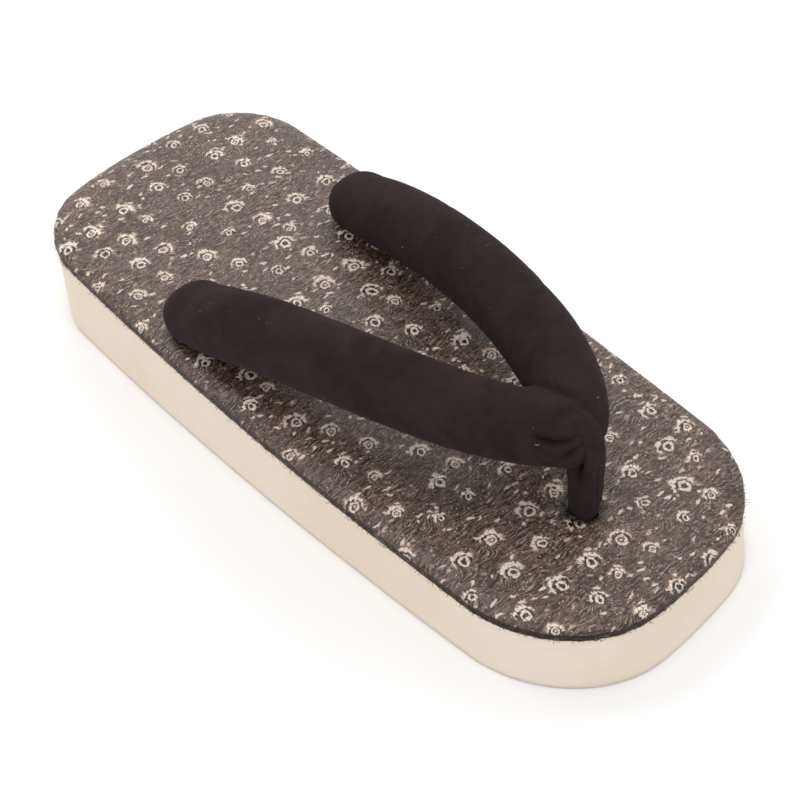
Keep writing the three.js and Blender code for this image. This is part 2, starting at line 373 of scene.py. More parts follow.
def makeSheetPrint():
    look = printLook
    group, given, result = newGroup(
        "sheetPrint", [("Sheet", "NodeSocketVector", None)], ["Cream", "Tan", "ShadedHollow", "Dab", "Lines"]
    )
    sheet = given["Sheet"]
    across, along, _ = split3(sheet)
    # a lattice of cells, each row half a pitch over
    row = divided(along, look["pitchAlong"])
    column = timesPlus(row, 0.5, divided(across, look["pitchAcross"]))
    cell = cells(join3(column, row), 1.0, look["stray"])
    pick, pickSize, pickForm = split3(cell["Color"])
    middle = split3(cell["Position"])
    middleX = times(timesPlus(middle[1], -0.5, middle[0]), look["pitchAcross"])
    middleY = times(middle[1], look["pitchAlong"])
    # a shaky hand
    coarse = vectors("SUBTRACT", cloud(sheet, 0.36, 1.0, output="Color"), (0.5, 0.5, 0.5))
    fine = vectors("SUBTRACT", cloud(sheet, 1.1, 2.0, output="Color"), (0.5, 0.5, 0.5))
    shaken = sheet
    for wander, amount in zip((coarse, fine), look["shake"]):
        shaken = vectors("ADD", shaken, scaled(wander, amount))
    toMiddle = vectors("SUBTRACT", shaken, join3(middleX, middleY))
    toMiddle = vectors("MULTIPLY", toMiddle, (1, 1, 0))
    lean = timesPlus(pick, look["lean"][1] - look["lean"][0], look["lean"][0])
    lean = timesPlus(along, look["leanAlong"], lean)
    size = timesPlus(pickSize, look["size"][1] - look["size"][0], look["size"][0])
    local = turned2(toMiddle, lean)
    local = scaled(local, divided(1.0, size))
    localX, localY, _ = split3(local)
    reach = lengthOf(local)
    ragged = timesPlus(cloud(sheet, 1.9, 2.0, 0.65), 2.4, -1.2)
    # strokes that run out from each ring, told apart by their bearing
    bearing = vectors("NORMALIZE", local)
    bearing = vectors("ADD", scaled(bearing, 1.5), join3(0.0, 0.0, middleX))
    stroke = cloud(bearing, 1.9, 2.0, 0.7)
    # ring, broken here and there and a little squashed
    squash = timesPlus(pickForm, 0.35, 0.95)
    squashed = lengthOf(join3(times(localX, squash), localY))
    offRing = sums("ABSOLUTE", minus(squashed, look["ringRadius"]))
    offRing = timesPlus(ragged, 0.16, offRing)
    ring = ease(offRing, look["ringLine"] * 0.6, look["ringLine"] * 1.5, 1.0, 0.0)
    ring = times(ring, ease(stroke, 0.30, 0.44, 0.30, 1.0))
    seed = ease(timesPlus(ragged, 0.2, reach), 0.25, 0.65, 0.85, 0.0)
    seed = times(seed, sums("GREATER_THAN", pick, 0.55))
    # arch over the ring, thinner to its ends and frayed outwards
    archX = minus(localX, 0.25)
    archY = plus(localY, 0.35)
    archReach = lengthOf(join3(times(archX, 0.88), archY))
    heelward = divided(archY, larger(archReach, 0.01))
    width = ease(heelward, 0.35, -0.75, 0.05, look["archLine"])
    width = timesPlus(ragged, 0.34, width)
    width = times(width, ease(stroke, 0.34, 0.62, 0.35, 1.50))
    archRadius = timesPlus(pickForm, -0.45, look["archRadius"])
    spare = sums("ABSOLUTE", minus(archReach, archRadius))
    spare = minus(spare, width)
    behind = ease(timesPlus(pickSize, -0.35, heelward), 0.12, -0.25, 0.0, 1.0)
    arch = times(ease(spare, -0.24, 0.14, 1.0, 0.0), behind)
    frill = ease(stroke, 0.53, 0.60)
    frill = times(frill, ease(archReach, look["archRadius"], look["frillReach"], 1.0, 0.0))
    frill = times(frill, ease(reach, 2.2, 2.7, 0.0, 1.0))
    frill = times(frill, ease(heelward, 0.5, 0.0, 0.10, 0.85))
    # a loose blot beyond the arch, and a flick beside the ring
    blotX = timesPlus(localX, 0.55, 0.4)
    blotY = timesPlus(localY, 1.4, 6.4)
    blotReach = timesPlus(ragged, 0.8, lengthOf(join3(blotX, blotY)))
    blot = ease(blotReach, 0.35, 0.95, 0.9, 0.0)
    blot = times(blot, sums("GREATER_THAN", pickForm, 0.5))
    flickX = timesPlus(localX, 1.9, -6.2)
    flickReach = lengthOf(join3(flickX, times(localY, 0.7)))
    flick = ease(timesPlus(ragged, 0.7, flickReach), 0.4, 1.1, 0.9, 0.0)
    flick = times(flick, sums("LESS_THAN", pickForm, 0.6))
    motif = larger(larger(ring, seed), larger(arch, frill))
    motif = larger(motif, larger(blot, flick))
    worn = ease(cloud(sheet, 1.5, 3.0, 0.7), 0.34, 0.52, 0.35, 1.0)
    cream = times(motif, worn)
    feed(result["Cream"], times(cream, ease(pickForm, 0.0, 1.0, 0.80, 1.0)))
    # painted shade in the hollow inside the ring, and between it and its arch
    pit = ease(archReach, *look["pit"], 1.0, 0.0)
    pit = times(pit, ease(heelward, 0.7, 0.0, 0.25, 1.0))
    pit = larger(pit, ease(reach, 0.9, 1.3, 0.8, 0.0))
    feed(result["ShadedHollow"], times(pit, minus(1.0, motif)))
    tan = times(ease(spare, 0.0, 1.3, 1.0, 0.0), behind)
    feed(result["Tan"], times(tan, ease(pick, 0.25, 0.9)))
    # dabs, most of them lying across the sheet, and finer specks
    dabCell = cells(scaled(sheet, 1 / look["dabPitch"]), 1.0)
    turn, long, strength = split3(dabCell["Color"])
    dabMiddle = scaled(dabCell["Position"], look["dabPitch"])
    dabPlace = vectors("MULTIPLY", vectors("SUBTRACT", shaken, dabMiddle), (1, 1, 0))
    dabPlace = turned2(dabPlace, timesPlus(turn, 1.3, -0.50))
    dabX, dabY, _ = split3(dabPlace)
    dabX = divided(dabX, timesPlus(long, 1.2, 0.5))
    dabReach = lengthOf(join3(dabX, divided(dabY, 0.48)))
    dabReach = timesPlus(ragged, 0.45, dabReach)
    dab = ease(dabReach, 0.55, 1.15, 1.0, 0.0)
    dab = times(dab, ease(strength, 0.50, 0.88))
    dab = times(dab, ease(reach, 2.6, 3.6, 0.1, 1.0))
    speckCell = cells(scaled(sheet, 1 / look["speckPitch"]), 1.0)
    speckPick = split3(speckCell["Color"])[0]
    speck = ease(speckCell["Distance"], 0.10, 0.26, 0.6, 0.0)
    speck = times(speck, ease(speckPick, 0.74, 0.95))
    feed(result["Dab"], larger(dab, speck))
    # fine lines across the sheet that bend round the rings
    hill = ease(lengthOf(toMiddle), look["hill"][0], 0.4, 0.0, look["hill"][1])
    drift = cloud(vectors("MULTIPLY", sheet, (0.8, 1.0, 1.0)), 0.11, 2.0, 0.5)
    field = plus(timesPlus(drift, look["lineDrift"], along), hill)
    field = timesPlus(split3(fine)[0], 0.9, field)
    wave = sums("SINE", times(field, 2 * math.pi / look["linePitch"]))
    feed(result["Lines"], timesPlus(wave, 0.5, 0.5))
    return group


fineDust = makeFineDust()
fineNap = makeFineNap()
sheetPrint = makeSheetPrint()


# the cover's colours, and its gloss and painted edge shade by the part of the sheet
coverFinish = {
    "printedCover": {"gloss": 0.5, "edgeShade": 0.60},
    "coverEdge": {"gloss": 0.10, "edgeShade": 0.86},
    "violet": (0.192, 0.118, 0.092),
    "olive": (0.184, 0.114, 0.074),
    "ground": (0.011, 0.0055, 0.0042),
    "smoke": (0.018, 0.009, 0.0068),
    "crest": (0.360, 0.265, 0.215),
    "furrow": (0.007, 0.0035, 0.0028),
    "tan": (0.290, 0.160, 0.092),
    # painted shade in the hollows of the raised print
    "shadedHollow": (0.009, 0.005, 0.0045),
    "dab": (0.64, 0.52, 0.44),
    "cream": (0.82, 0.70, 0.60),
    # painted shade on the turned-down edge
    "edgeShadeColour": (0.010, 0.007, 0.006),
    "backing": (0.36, 0.26, 0.19),
    # painted shade round the holes
    "holeShade": (0.008, 0.005, 0.004),
    "rough": (0.21, 0.34),
    "relief": 0.00040,
}


def makePrintedCover(name):
    look, own = coverFinish, coverFinish[name]
    material, sockets, place = newMaterial(name)
    uv = material.node_tree.nodes.new("ShaderNodeUVMap")
    uv.uv_map = "flatSheet"
    sheet = scaled(uv.outputs[0], 1000.0)
    marks = useGroup(sheetPrint, Sheet=sheet)
    # smoky ground: fine streaks across the sheet, with patches of violet grey and olive
    slanted = vectors("MULTIPLY", turned2(sheet, 0.10), (0.36, 1.0, 1.0))
    streak = cloud(slanted, 1.15, 5.0, 0.78, 0.8)
    pale = tint(ease(cloud(sheet, 0.09, 3.0, 0.55, 0.5), 0.38, 0.62), look["violet"], look["olive"])
    ground = tint(ease(streak, 0.40, 0.62), look["ground"], pale)
    smoke = cloud(sheet, 0.055, 3.0, 0.6, 0.4)
    ground = tint(ease(smoke, 0.42, 0.68, 0.0, 0.50), ground, look["smoke"])
    # fine lines, which show in patches, then the marks printed over them, and painted shade in the print's
    # hollows
    shown = ease(cloud(sheet, 0.16, 2.0, 0.6), 0.40, 0.62, 0.10, 1.0)
    crest = times(times(ease(marks["Lines"], 0.62, 1.0), shown), ease(streak, 0.42, 0.62, 0.20, 1.0))
    furrow = times(ease(marks["Lines"], 0.45, 0.0), shown)
    for mask, strength, colour in (
        (crest, 0.75, "crest"), (furrow, 0.80, "furrow"), (marks["Tan"], 0.50, "tan"),
        (marks["ShadedHollow"], 0.85, "shadedHollow"), (marks["Dab"], 0.95, "dab"), (marks["Cream"], 1.0, "cream"),
    ):
        ground = tint(times(mask, strength), ground, look[colour])
    # painted shade: the sheet's edge, where it turns down, is darkened, and so is the cover round the
    # holes; the backing shows in nicks of the edge
    edge = material.node_tree.nodes.new("ShaderNodeAttribute")
    edge.attribute_name = "overEdge"
    edge = edge.outputs["Fac"]
    nickAndShade = cloud(vectors("MULTIPLY", place, (1.0, 1.0, 0.5)), 0.9, 3.0, 0.7)
    # painted shade on the turned-down edge, its border broken up by the same noise that places the nicks
    dark = ease(timesPlus(nickAndShade, 0.5, edge), 0.50, 0.82, 0.0, own["edgeShade"])
    ground = tint(dark, ground, look["edgeShadeColour"])
    frayed = times(ease(edge, 0.70, 0.95), ease(nickAndShade, 0.58, 0.68))
    ground = tint(times(frayed, 0.6), ground, look["backing"])
    # painted shade round each hole, fading out between 5.2 and 7.4 mm from its middle
    for x, y in holes.values():
        toHole = lengthOf(vectors("SUBTRACT", sheet, (x * 1000, y * 1000, 0)))
        ground = tint(ease(toHole, 5.2, 7.4, 0.9, 0.0), ground, look["holeShade"])
    feed(sockets["Base Color"], ground)
    rough = ease(cloud(sheet, 0.5, 3.0), 0.3, 0.7, *look["rough"])
    feed(sockets["Roughness"], timesPlus(marks["Cream"], 0.10, rough))
    sockets["Specular IOR Level"].default_value = own["gloss"]
    # leather-like grain, the fine lines and the slightly raised print
    grain = ease(cells(sheet, 1.25, 1.0, "DISTANCE_TO_EDGE")["Distance"], 0.0, 0.28)
    height = timesPlus(grain, 0.16, times(cloud(slanted, 0.9, 4.0, 0.6, 1.2), 0.7))
    for mark, rise in (("Lines", 0.10), ("Cream", 0.35), ("ShadedHollow", -0.25)):
        height = timesPlus(marks[mark], rise, height)
    feed(sockets["Normal"], bump(height, look["relief"], 0.7))
    return material


# brushed cloth and cotton: nap scale, where its shade turns, the colours and the relief
clothFinish = {
    "strapCloth": {
        "nap": 1.0, "turns": (0.42, 0.82), "dark": (0.0185, 0.0120, 0.0120),
        "pale": (0.0300, 0.0200, 0.0200), "rough": 0.93, "relief": 0.00016,
        "lint": (0.28, 0.25, 0.24), "sheenTint": (0.62, 0.54, 0.55),
    },
    "cordCotton": {
        "nap": 2.0, "turns": (0.4, 0.8), "dark": (0.020, 0.015, 0.016),
        "pale": (0.060, 0.048, 0.048), "rough": 0.9, "relief": 0.00010,
    },
}


def makeCloth(name):
    look = clothFinish[name]
    material, sockets, place = newMaterial(name, look["rough"])
    nap = useGroup(fineNap, Place=place, Scale=look["nap"])
    colour = tint(ease(nap["Shade"], *look["turns"]), look["dark"], look["pale"])
    if "lint" in look:
        lint = useGroup(fineDust, Place=place, Scale=0.42, Amount=0.07)
        colour = tint(times(lint["Mask"], 0.55), colour, look["lint"])
        sockets["Specular IOR Level"].default_value = 0.03
        sockets["Sheen Weight"].default_value = 0.06
        sockets["Sheen Roughness"].default_value = 0.45
        sockets["Sheen Tint"].default_value = (*look["sheenTint"], 1)
    feed(sockets["Base Color"], colour)
    feed(sockets["Normal"], bump(nap["Height"], look["relief"], 0.6))
    return material


woodFinish = {
    "pale": (0.730, 0.625, 0.505),
    "paler": (0.760, 0.665, 0.555),
    "ring": (0.600, 0.460, 0.330),
    "fibre": (0.560, 0.430, 0.310),
    "pore": (0.440, 0.320, 0.220),
    # painted contact shadow low on the walls, by the floor
    "contactShade": (0.300, 0.220, 0.160),
    "pith": (-14.0, -160.0),  # millimetres across and up from the middle of the sole's underside
    "ringPitch": 2.7,
    "waver": 7.0,
    "rough": (0.55, 0.72),
    "relief": 0.00010,
}


def makePaleWood():
    look = woodFinish
    material, sockets, place = newMaterial("paleWood")
    x, _, z = split3(place)

    def drawnOut(share):
        # the place squeezed along the sole, so that what is made on it runs lengthwise
        return vectors("MULTIPLY", place, (1.0, share, 1.0))

    # faint growth rings round a pith far under the sole
    fromPith = lengthOf(join3(minus(x, look["pith"][0]), 0.0, minus(z, look["pith"][1])))
    fromPith = timesPlus(cloud(drawnOut(0.10), 0.035, 3.0, 0.5), look["waver"], fromPith)
    ring = sums("FRACT", divided(fromPith, look["ringPitch"]))
    band = larger(ease(ring, 0.50, 0.97), ease(ring, 0.0, 0.12, 1.0, 0.0))
    fibre = cloud(drawnOut(0.035), 2.4, 3.0, 0.6)
    pore = cloud(drawnOut(0.10), 1.1, 2.0, 0.5)
    colour = tint(ease(cloud(place, 0.03, 3.0, 0.5), 0.35, 0.65), look["pale"], look["paler"])
    # painted contact shadow: the walls are darkened in their lowest two millimetres, where they meet the
    # floor, broken up by the pore pattern
    contactShade = times(ease(z, 0.2, 2.2, 1.0, 0.0), ease(pore, 0.30, 0.7, 0.35, 0.8))
    for mask, name in (
        (times(band, 0.06), "ring"), (ease(fibre, 0.5, 0.75, 0.0, 0.09), "fibre"),
        (ease(pore, 0.72, 0.82, 0.0, 0.22), "pore"), (times(contactShade, 0.45), "contactShade"),
    ):
        colour = tint(mask, colour, look[name])
    feed(sockets["Base Color"], colour)
    feed(sockets["Roughness"], ease(fibre, 0.3, 0.7, *look["rough"]))
    sockets["Specular IOR Level"].default_value = 0.35
    feed(sockets["Normal"], bump(timesPlus(band, 0.25, fibre), look["relief"], 0.5))
    return material


# loose threads: the scale of the change along them, where it turns, and the colours
threadFinish = {
    "cutFibre": {  # torn from the cover's backing, tan to cream
        "scale": 0.9, "turns": (0.42, 0.60), "dark": (0.030, 0.020, 0.015),
        "pale": (0.33, 0.22, 0.14), "rough": 0.85,
    },
    "lintPale": {
        "scale": 0.35, "turns": (0.40, 0.60), "dark": (0.16, 0.13, 0.12),
        "pale": (0.52, 0.48, 0.44), "rough": 0.8,
    },
}


def makeThread(name):
    look = threadFinish[name]
    material, sockets, place = newMaterial(name, look["rough"])
    pick = ease(cloud(place, look["scale"], 1.0), *look["turns"])
    feed(sockets["Base Color"], tint(pick, look["dark"], look["pale"]))
    return material


printedCover = makePrintedCover("printedCover")
coverEdge = makePrintedCover("coverEdge")
strapCloth = makeCloth("strapCloth")
cordCotton = makeCloth("cordCotton")
paleWood = makePaleWood()
cutFibre = makeThread("cutFibre")
lintPale = makeThread("lintPale")
print("materials made")


# mesh helpers
def newPiece(name, mesh, material):
    piece = bpy.data.objects.new(name, mesh)
    bpy.context.scene.collection.objects.link(piece)
    if material is not None:
        mesh.materials.append(material)
    return piece


def baked(piece):
    # the piece with its modifiers turned into plain mesh
    view = bpy.context.evaluated_depsgraph_get()
    mesh = bpy.data.meshes.new_from_object(piece.evaluated_get(view))
    old = piece.data
    piece.modifiers.clear()
    piece.data = mesh
    bpy.data.meshes.remove(old)
    return piece


def reworked(piece, kind, **settings):
    # the piece with one modifier applied
    change = piece.modifiers.new("change", kind)
    for name, value in settings.items():
        setattr(change, name, value)
    return baked(piece)


def combined(piece, others, operation):
    # other solids cut from the piece, or joined to it, and used up
    for other in others:
        mix = piece.modifiers.new("mix", "BOOLEAN")
        mix.operation = operation
        mix.solver = "EXACT"
        mix.object = other
    baked(piece)
    for other in others:
        mesh = other.data
        bpy.data.objects.remove(other)
        bpy.data.meshes.remove(mesh)


def readRows(items, name):
    # one vector of every vertex or normal, as an array
    flat = np.zeros(len(items) * 3)
    items.foreach_get(name, flat)
    return flat.reshape(-1, 3)


def readPoints(mesh):
    return readRows(mesh.vertices, "co")


def writePoints(mesh, points):
    mesh.vertices.foreach_set("co", np.ascontiguousarray(points, float).ravel())
    mesh.update()


def softShade(mesh, sharpAngle):
    # smooth faces, with edges sharper than the angle kept crisp
    tool = bmesh.new()
    tool.from_mesh(mesh)
    for face in tool.faces:
        face.smooth = True
    for edge in tool.edges:
        edge.smooth = len(edge.link_faces) == 2 and edge.calc_face_angle(0.0) < math.radians(sharpAngle)
    tool.to_mesh(mesh)
    tool.free()


def facesOut(mesh):
    tool = bmesh.new()
    tool.from_mesh(mesh)
    bmesh.ops.recalc_face_normals(tool, faces=tool.faces)
    tool.to_mesh(mesh)
    tool.free()


def ringSkin(rings, closeEnds=True):
    # points and faces of a skin over rings of equal length
    count = len(rings[0])
    points = np.concatenate(rings)
    faces = []
    for r in range(len(rings) - 1):
        for i in range(count):
            a = r * count + i
            b = r * count + (i + 1) % count
            faces.append((a, b, b + count, a + count))
    if closeEnds:
        faces.append(tuple(range(count))[::-1])
        faces.append(tuple(range((len(rings) - 1) * count, len(rings) * count)))
    return points, faces


def meshOf(name, points, faces):
    mesh = bpy.data.meshes.new(name)
    mesh.from_pydata([tuple(p) for p in points], [], faces)
    mesh.update()
    return mesh


def lathed(name, profile, centre, oval=0.0, count=72):
    # a closed turned solid; the profile lists (radius, height) from the lowest up, and oval is
    # how much longer than wide it is
    turns = np.linspace(0, 2 * math.pi, count, endpoint=False)
    rings = [
        np.c_[centre[0] + r * np.cos(turns), centre[1] + (r + oval) * np.sin(turns), np.full(count, h)]
        for r, h in profile
    ]
    return meshOf(name, *ringSkin(rings))


# the sole's outline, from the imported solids
def outerRing(points):
    # the outermost points in plan, counter-clockwise
    flat = [Vector((p[0], p[1])) for p in np.unique(np.round(points[:, :2], 6), axis=0)]
    ring = np.array([flat[i] for i in geometry.convex_hull_2d(flat)])
    following = np.roll(ring, -1, 0)
    area = (ring[:, 0] * following[:, 1] - following[:, 0] * ring[:, 1]).sum()
    return ring if area > 0 else ring[::-1]


def smoothRing(ring, count, dense=16):
    # a closed smooth curve through the ring's points, in equal steps
    before, after, second = np.roll(ring, 1, 0), np.roll(ring, -1, 0), np.roll(ring, -2, 0)
    steps = np.linspace(0, 1, dense, endpoint=False)[:, None, None]
    curve = 0.5 * (
        2 * ring
        + (after - before) * steps
        + (2 * before - 5 * ring + 4 * after - second) * steps**2
        + (3 * ring - before - 3 * after + second) * steps**3
    )
    curve = curve.transpose(1, 0, 2).reshape(-1, 2)
    closed = np.vstack([curve, curve[:1]])
    walked = np.r_[0, np.cumsum(np.hypot(*np.diff(closed, axis=0).T))]
    wanted = np.linspace(0, walked[-1], count, endpoint=False)
    return np.c_[np.interp(wanted, walked, closed[:, 0]), np.interp(wanted, walked, closed[:, 1])]


def outwards(ring):
    along = np.roll(ring, -1, 0) - np.roll(ring, 1, 0)
    normal = np.c_[along[:, 1], -along[:, 0]]
    return normal / np.hypot(*normal.T)[:, None]


ringCount = 640
basePoints = readPoints(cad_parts["wooden_base"].data)
floorRing = smoothRing(outerRing(basePoints[basePoints[:, 2] < 0.002]), ringCount)
topPoints = basePoints[basePoints[:, 2] > 0.015]
topRing = smoothRing(outerRing(topPoints), ringCount)
slope, level = np.polyfit(topPoints[:, 1], topPoints[:, 2], 1)


def woodTop(y):
    return level + slope * y


# Start both rings at the same side, so that they pair up point by point.
def startAt(ring):
    return np.roll(ring, -int(np.argmax(ring[:, 0] - np.abs(ring[:, 1]) * 2)), 0)


floorRing = startAt(floorRing)
topRing = startAt(topRing)
coverLow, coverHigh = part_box("top_cover")
sheetRise = coverHigh.z - woodTop(coverLow.y)  # the cover's full thickness over the wood


# wooden base
baseLook = {
    "floorRound": 0.9 * mm,
    "topRound": 0.6 * mm,
    "wallRows": 7,
    "waver": 0.10 * mm,  # hand-planed unevenness
    "waverScale": 38.0,
    "roundSteps": 5,
    "sharpAngle": 38,  # degrees; edges sharper than this stay crisp
    "holeRadius": 6.0 * mm,
    "pocketRadius": 11.5 * mm,
    "pocketDepth": 11.0 * mm,
    "lip": 0.7 * mm,
}


def makeBase():
    look = baseLook
    floorOut, topOut = outwards(floorRing), outwards(topRing)
    rings = []

    def addRing(ring, height):
        heights = height if isinstance(height, np.ndarray) else np.full(len(ring), height)
        rings.append(np.c_[ring, heights])

    roundSteps = look["roundSteps"]
    radius = look["floorRound"]
    for s in range(roundSteps + 1):
        turn = math.pi / 2 * s / roundSteps
        addRing(floorRing - floorOut * radius * (1 - math.sin(turn)), radius * (1 - math.cos(turn)))
    top = woodTop(topRing[:, 1])
    for row in range(1, look["wallRows"]):
        share = row / look["wallRows"]
        ring = floorRing * (1 - share) + topRing * share
        addRing(ring, radius * (1 - share) + (top - look["topRound"]) * share)
    radius = look["topRound"]
    for s in range(roundSteps + 1):
        turn = math.pi / 2 * s / roundSteps
        addRing(topRing - topOut * radius * (1 - math.cos(turn)), top - radius * (1 - math.sin(turn)))
    points, faces = ringSkin(rings)
    for p in points:
        shift = noise.noise(Vector(p) * look["waverScale"]) * look["waver"]
        away = Vector((p[0], p[1] * 0.35, 0)).normalized()
        p[0] += away.x * shift
        p[1] += away.y * shift
    base = newPiece("woodenBase", meshOf("woodenBase", points, faces), paleWood)
    cutters = []
    for name, centre in holes.items():
        r, pocket, depth, lip = (look[k] for k in ("holeRadius", "pocketRadius", "pocketDepth", "lip"))
        above = woodTop(centre[1]) + 2 * mm
        profile = [(pocket + lip * 2, -lip), (pocket + lip, 0.0)]
        for t in (0.5, 1.0, 1.57):
            profile.append((pocket + lip * (1 - math.sin(t)), lip * (1 - math.cos(t))))
        profile += [(pocket, depth - lip), (pocket - lip * 0.3, depth - lip * 0.3)]
        profile += [(pocket - lip, depth), (r + lip, depth), (r, depth + lip), (r, above)]
        cutters.append(newPiece(name + "Cutter", lathed(name + "Cutter", profile, centre), None))
    combined(base, cutters, "DIFFERENCE")
    softShade(base.data, look["sharpAngle"])
    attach(base, "root")
    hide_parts("wooden_base")


makeBase()
print("wooden base made")


# padded cover
coverLook = {
    "lift": 0.1 * mm,
    "wall": 2.1 * mm,
    "turnRadius": 1.25 * mm,  # where the sheet turns down over the edge
    "crownAngle": 30,  # degrees of slope inside that turn
    "crownWidth": 6.0 * mm,
    "overhang": 0.35 * mm,  # the edge laps a little past the wood
    "tuck": 0.5 * mm,  # and a little down over it
    "turnSteps": 7,
    "crownSteps": 8,
    "edgeFrom": 0.44,  # the matt edge starts this far down the cover's height
    "ragged": 0.30 * mm,  # unevenness of the cut edge
    "raggedPitch": 1.6 * mm,
    "underlap": 2.5 * mm,  # how far the hem goes in under the sheet
    "hemSheet": (5.5 * mm, 3.2 * mm, 2.8 * mm, 1.9 * mm, 1.0 * mm),  # its rings, laid flat
    "innerRings": 46,
    "spine": (-0.078, 0.072),  # the rings close on this stretch of the middle line
    "swell": 0.22 * mm,
    "swellPitch": 26 * mm,
    "pucker": 0.10 * mm,
    "puckerPitch": 3.1 * mm,
    "gather": (0.25, 5.0, 1.6),  # pleats on a straight, more by the bend, and the most
    "sharpAngle": 50,
    "dents": [
        # where a strap end or the toe loop presses in: place, reach and depth
        {"at": (0.0356, -0.0490), "reach": (0.0125, 0.0150), "depth": 0.9 * mm},
        {"at": (-0.0356, -0.0510), "reach": (0.0125, 0.0150), "depth": 0.9 * mm},
        {"at": (0.0002, 0.0852), "reach": (0.0100, 0.0110), "depth": 1.3 * mm},
    ],
    "holeSize": {
        # half sizes across and along
        "toe": (3.3 * mm, 4.7 * mm),
        "lateral": (5.6 * mm, 5.6 * mm),
        "medial": (5.6 * mm, 5.6 * mm),
    },
    "holeLip": 0.9 * mm,
    "spokes": 11,  # gathers that radiate from the front hole
    "spokeDepth": 0.14 * mm,
}


def coverRelief(x, y):
    # padding that isn't quite even, and the dents
    look = coverLook
    height = noise.noise(Vector((x, y, 0.3)) / look["swellPitch"]) * look["swell"]
    height += noise.noise(Vector((x, y, 4.1)) / (look["swellPitch"] * 0.36)) * look["swell"] * 0.35
    for dent in look["dents"]:
        right, ahead = x - dent["at"][0], y - dent["at"][1]
        away = math.hypot(right / dent["reach"][0], ahead / dent["reach"][1])
        height -= dent["depth"] * math.exp(-(away**2) * 1.3)
        if dent["at"][0] == holes["toe"][0] and away < 4:
            spoke = math.sin(look["spokes"] * math.atan2(ahead, right) + 0.7)
            height += spoke * look["spokeDepth"] * math.exp(-(((away - 1.2) / 0.9) ** 2))
    return height


def wobble(ring, level, pitch):
    # even noise at each point of a ring
    return np.array([noise.noise(Vector((p[0], p[1], level)) / pitch) for p in ring])


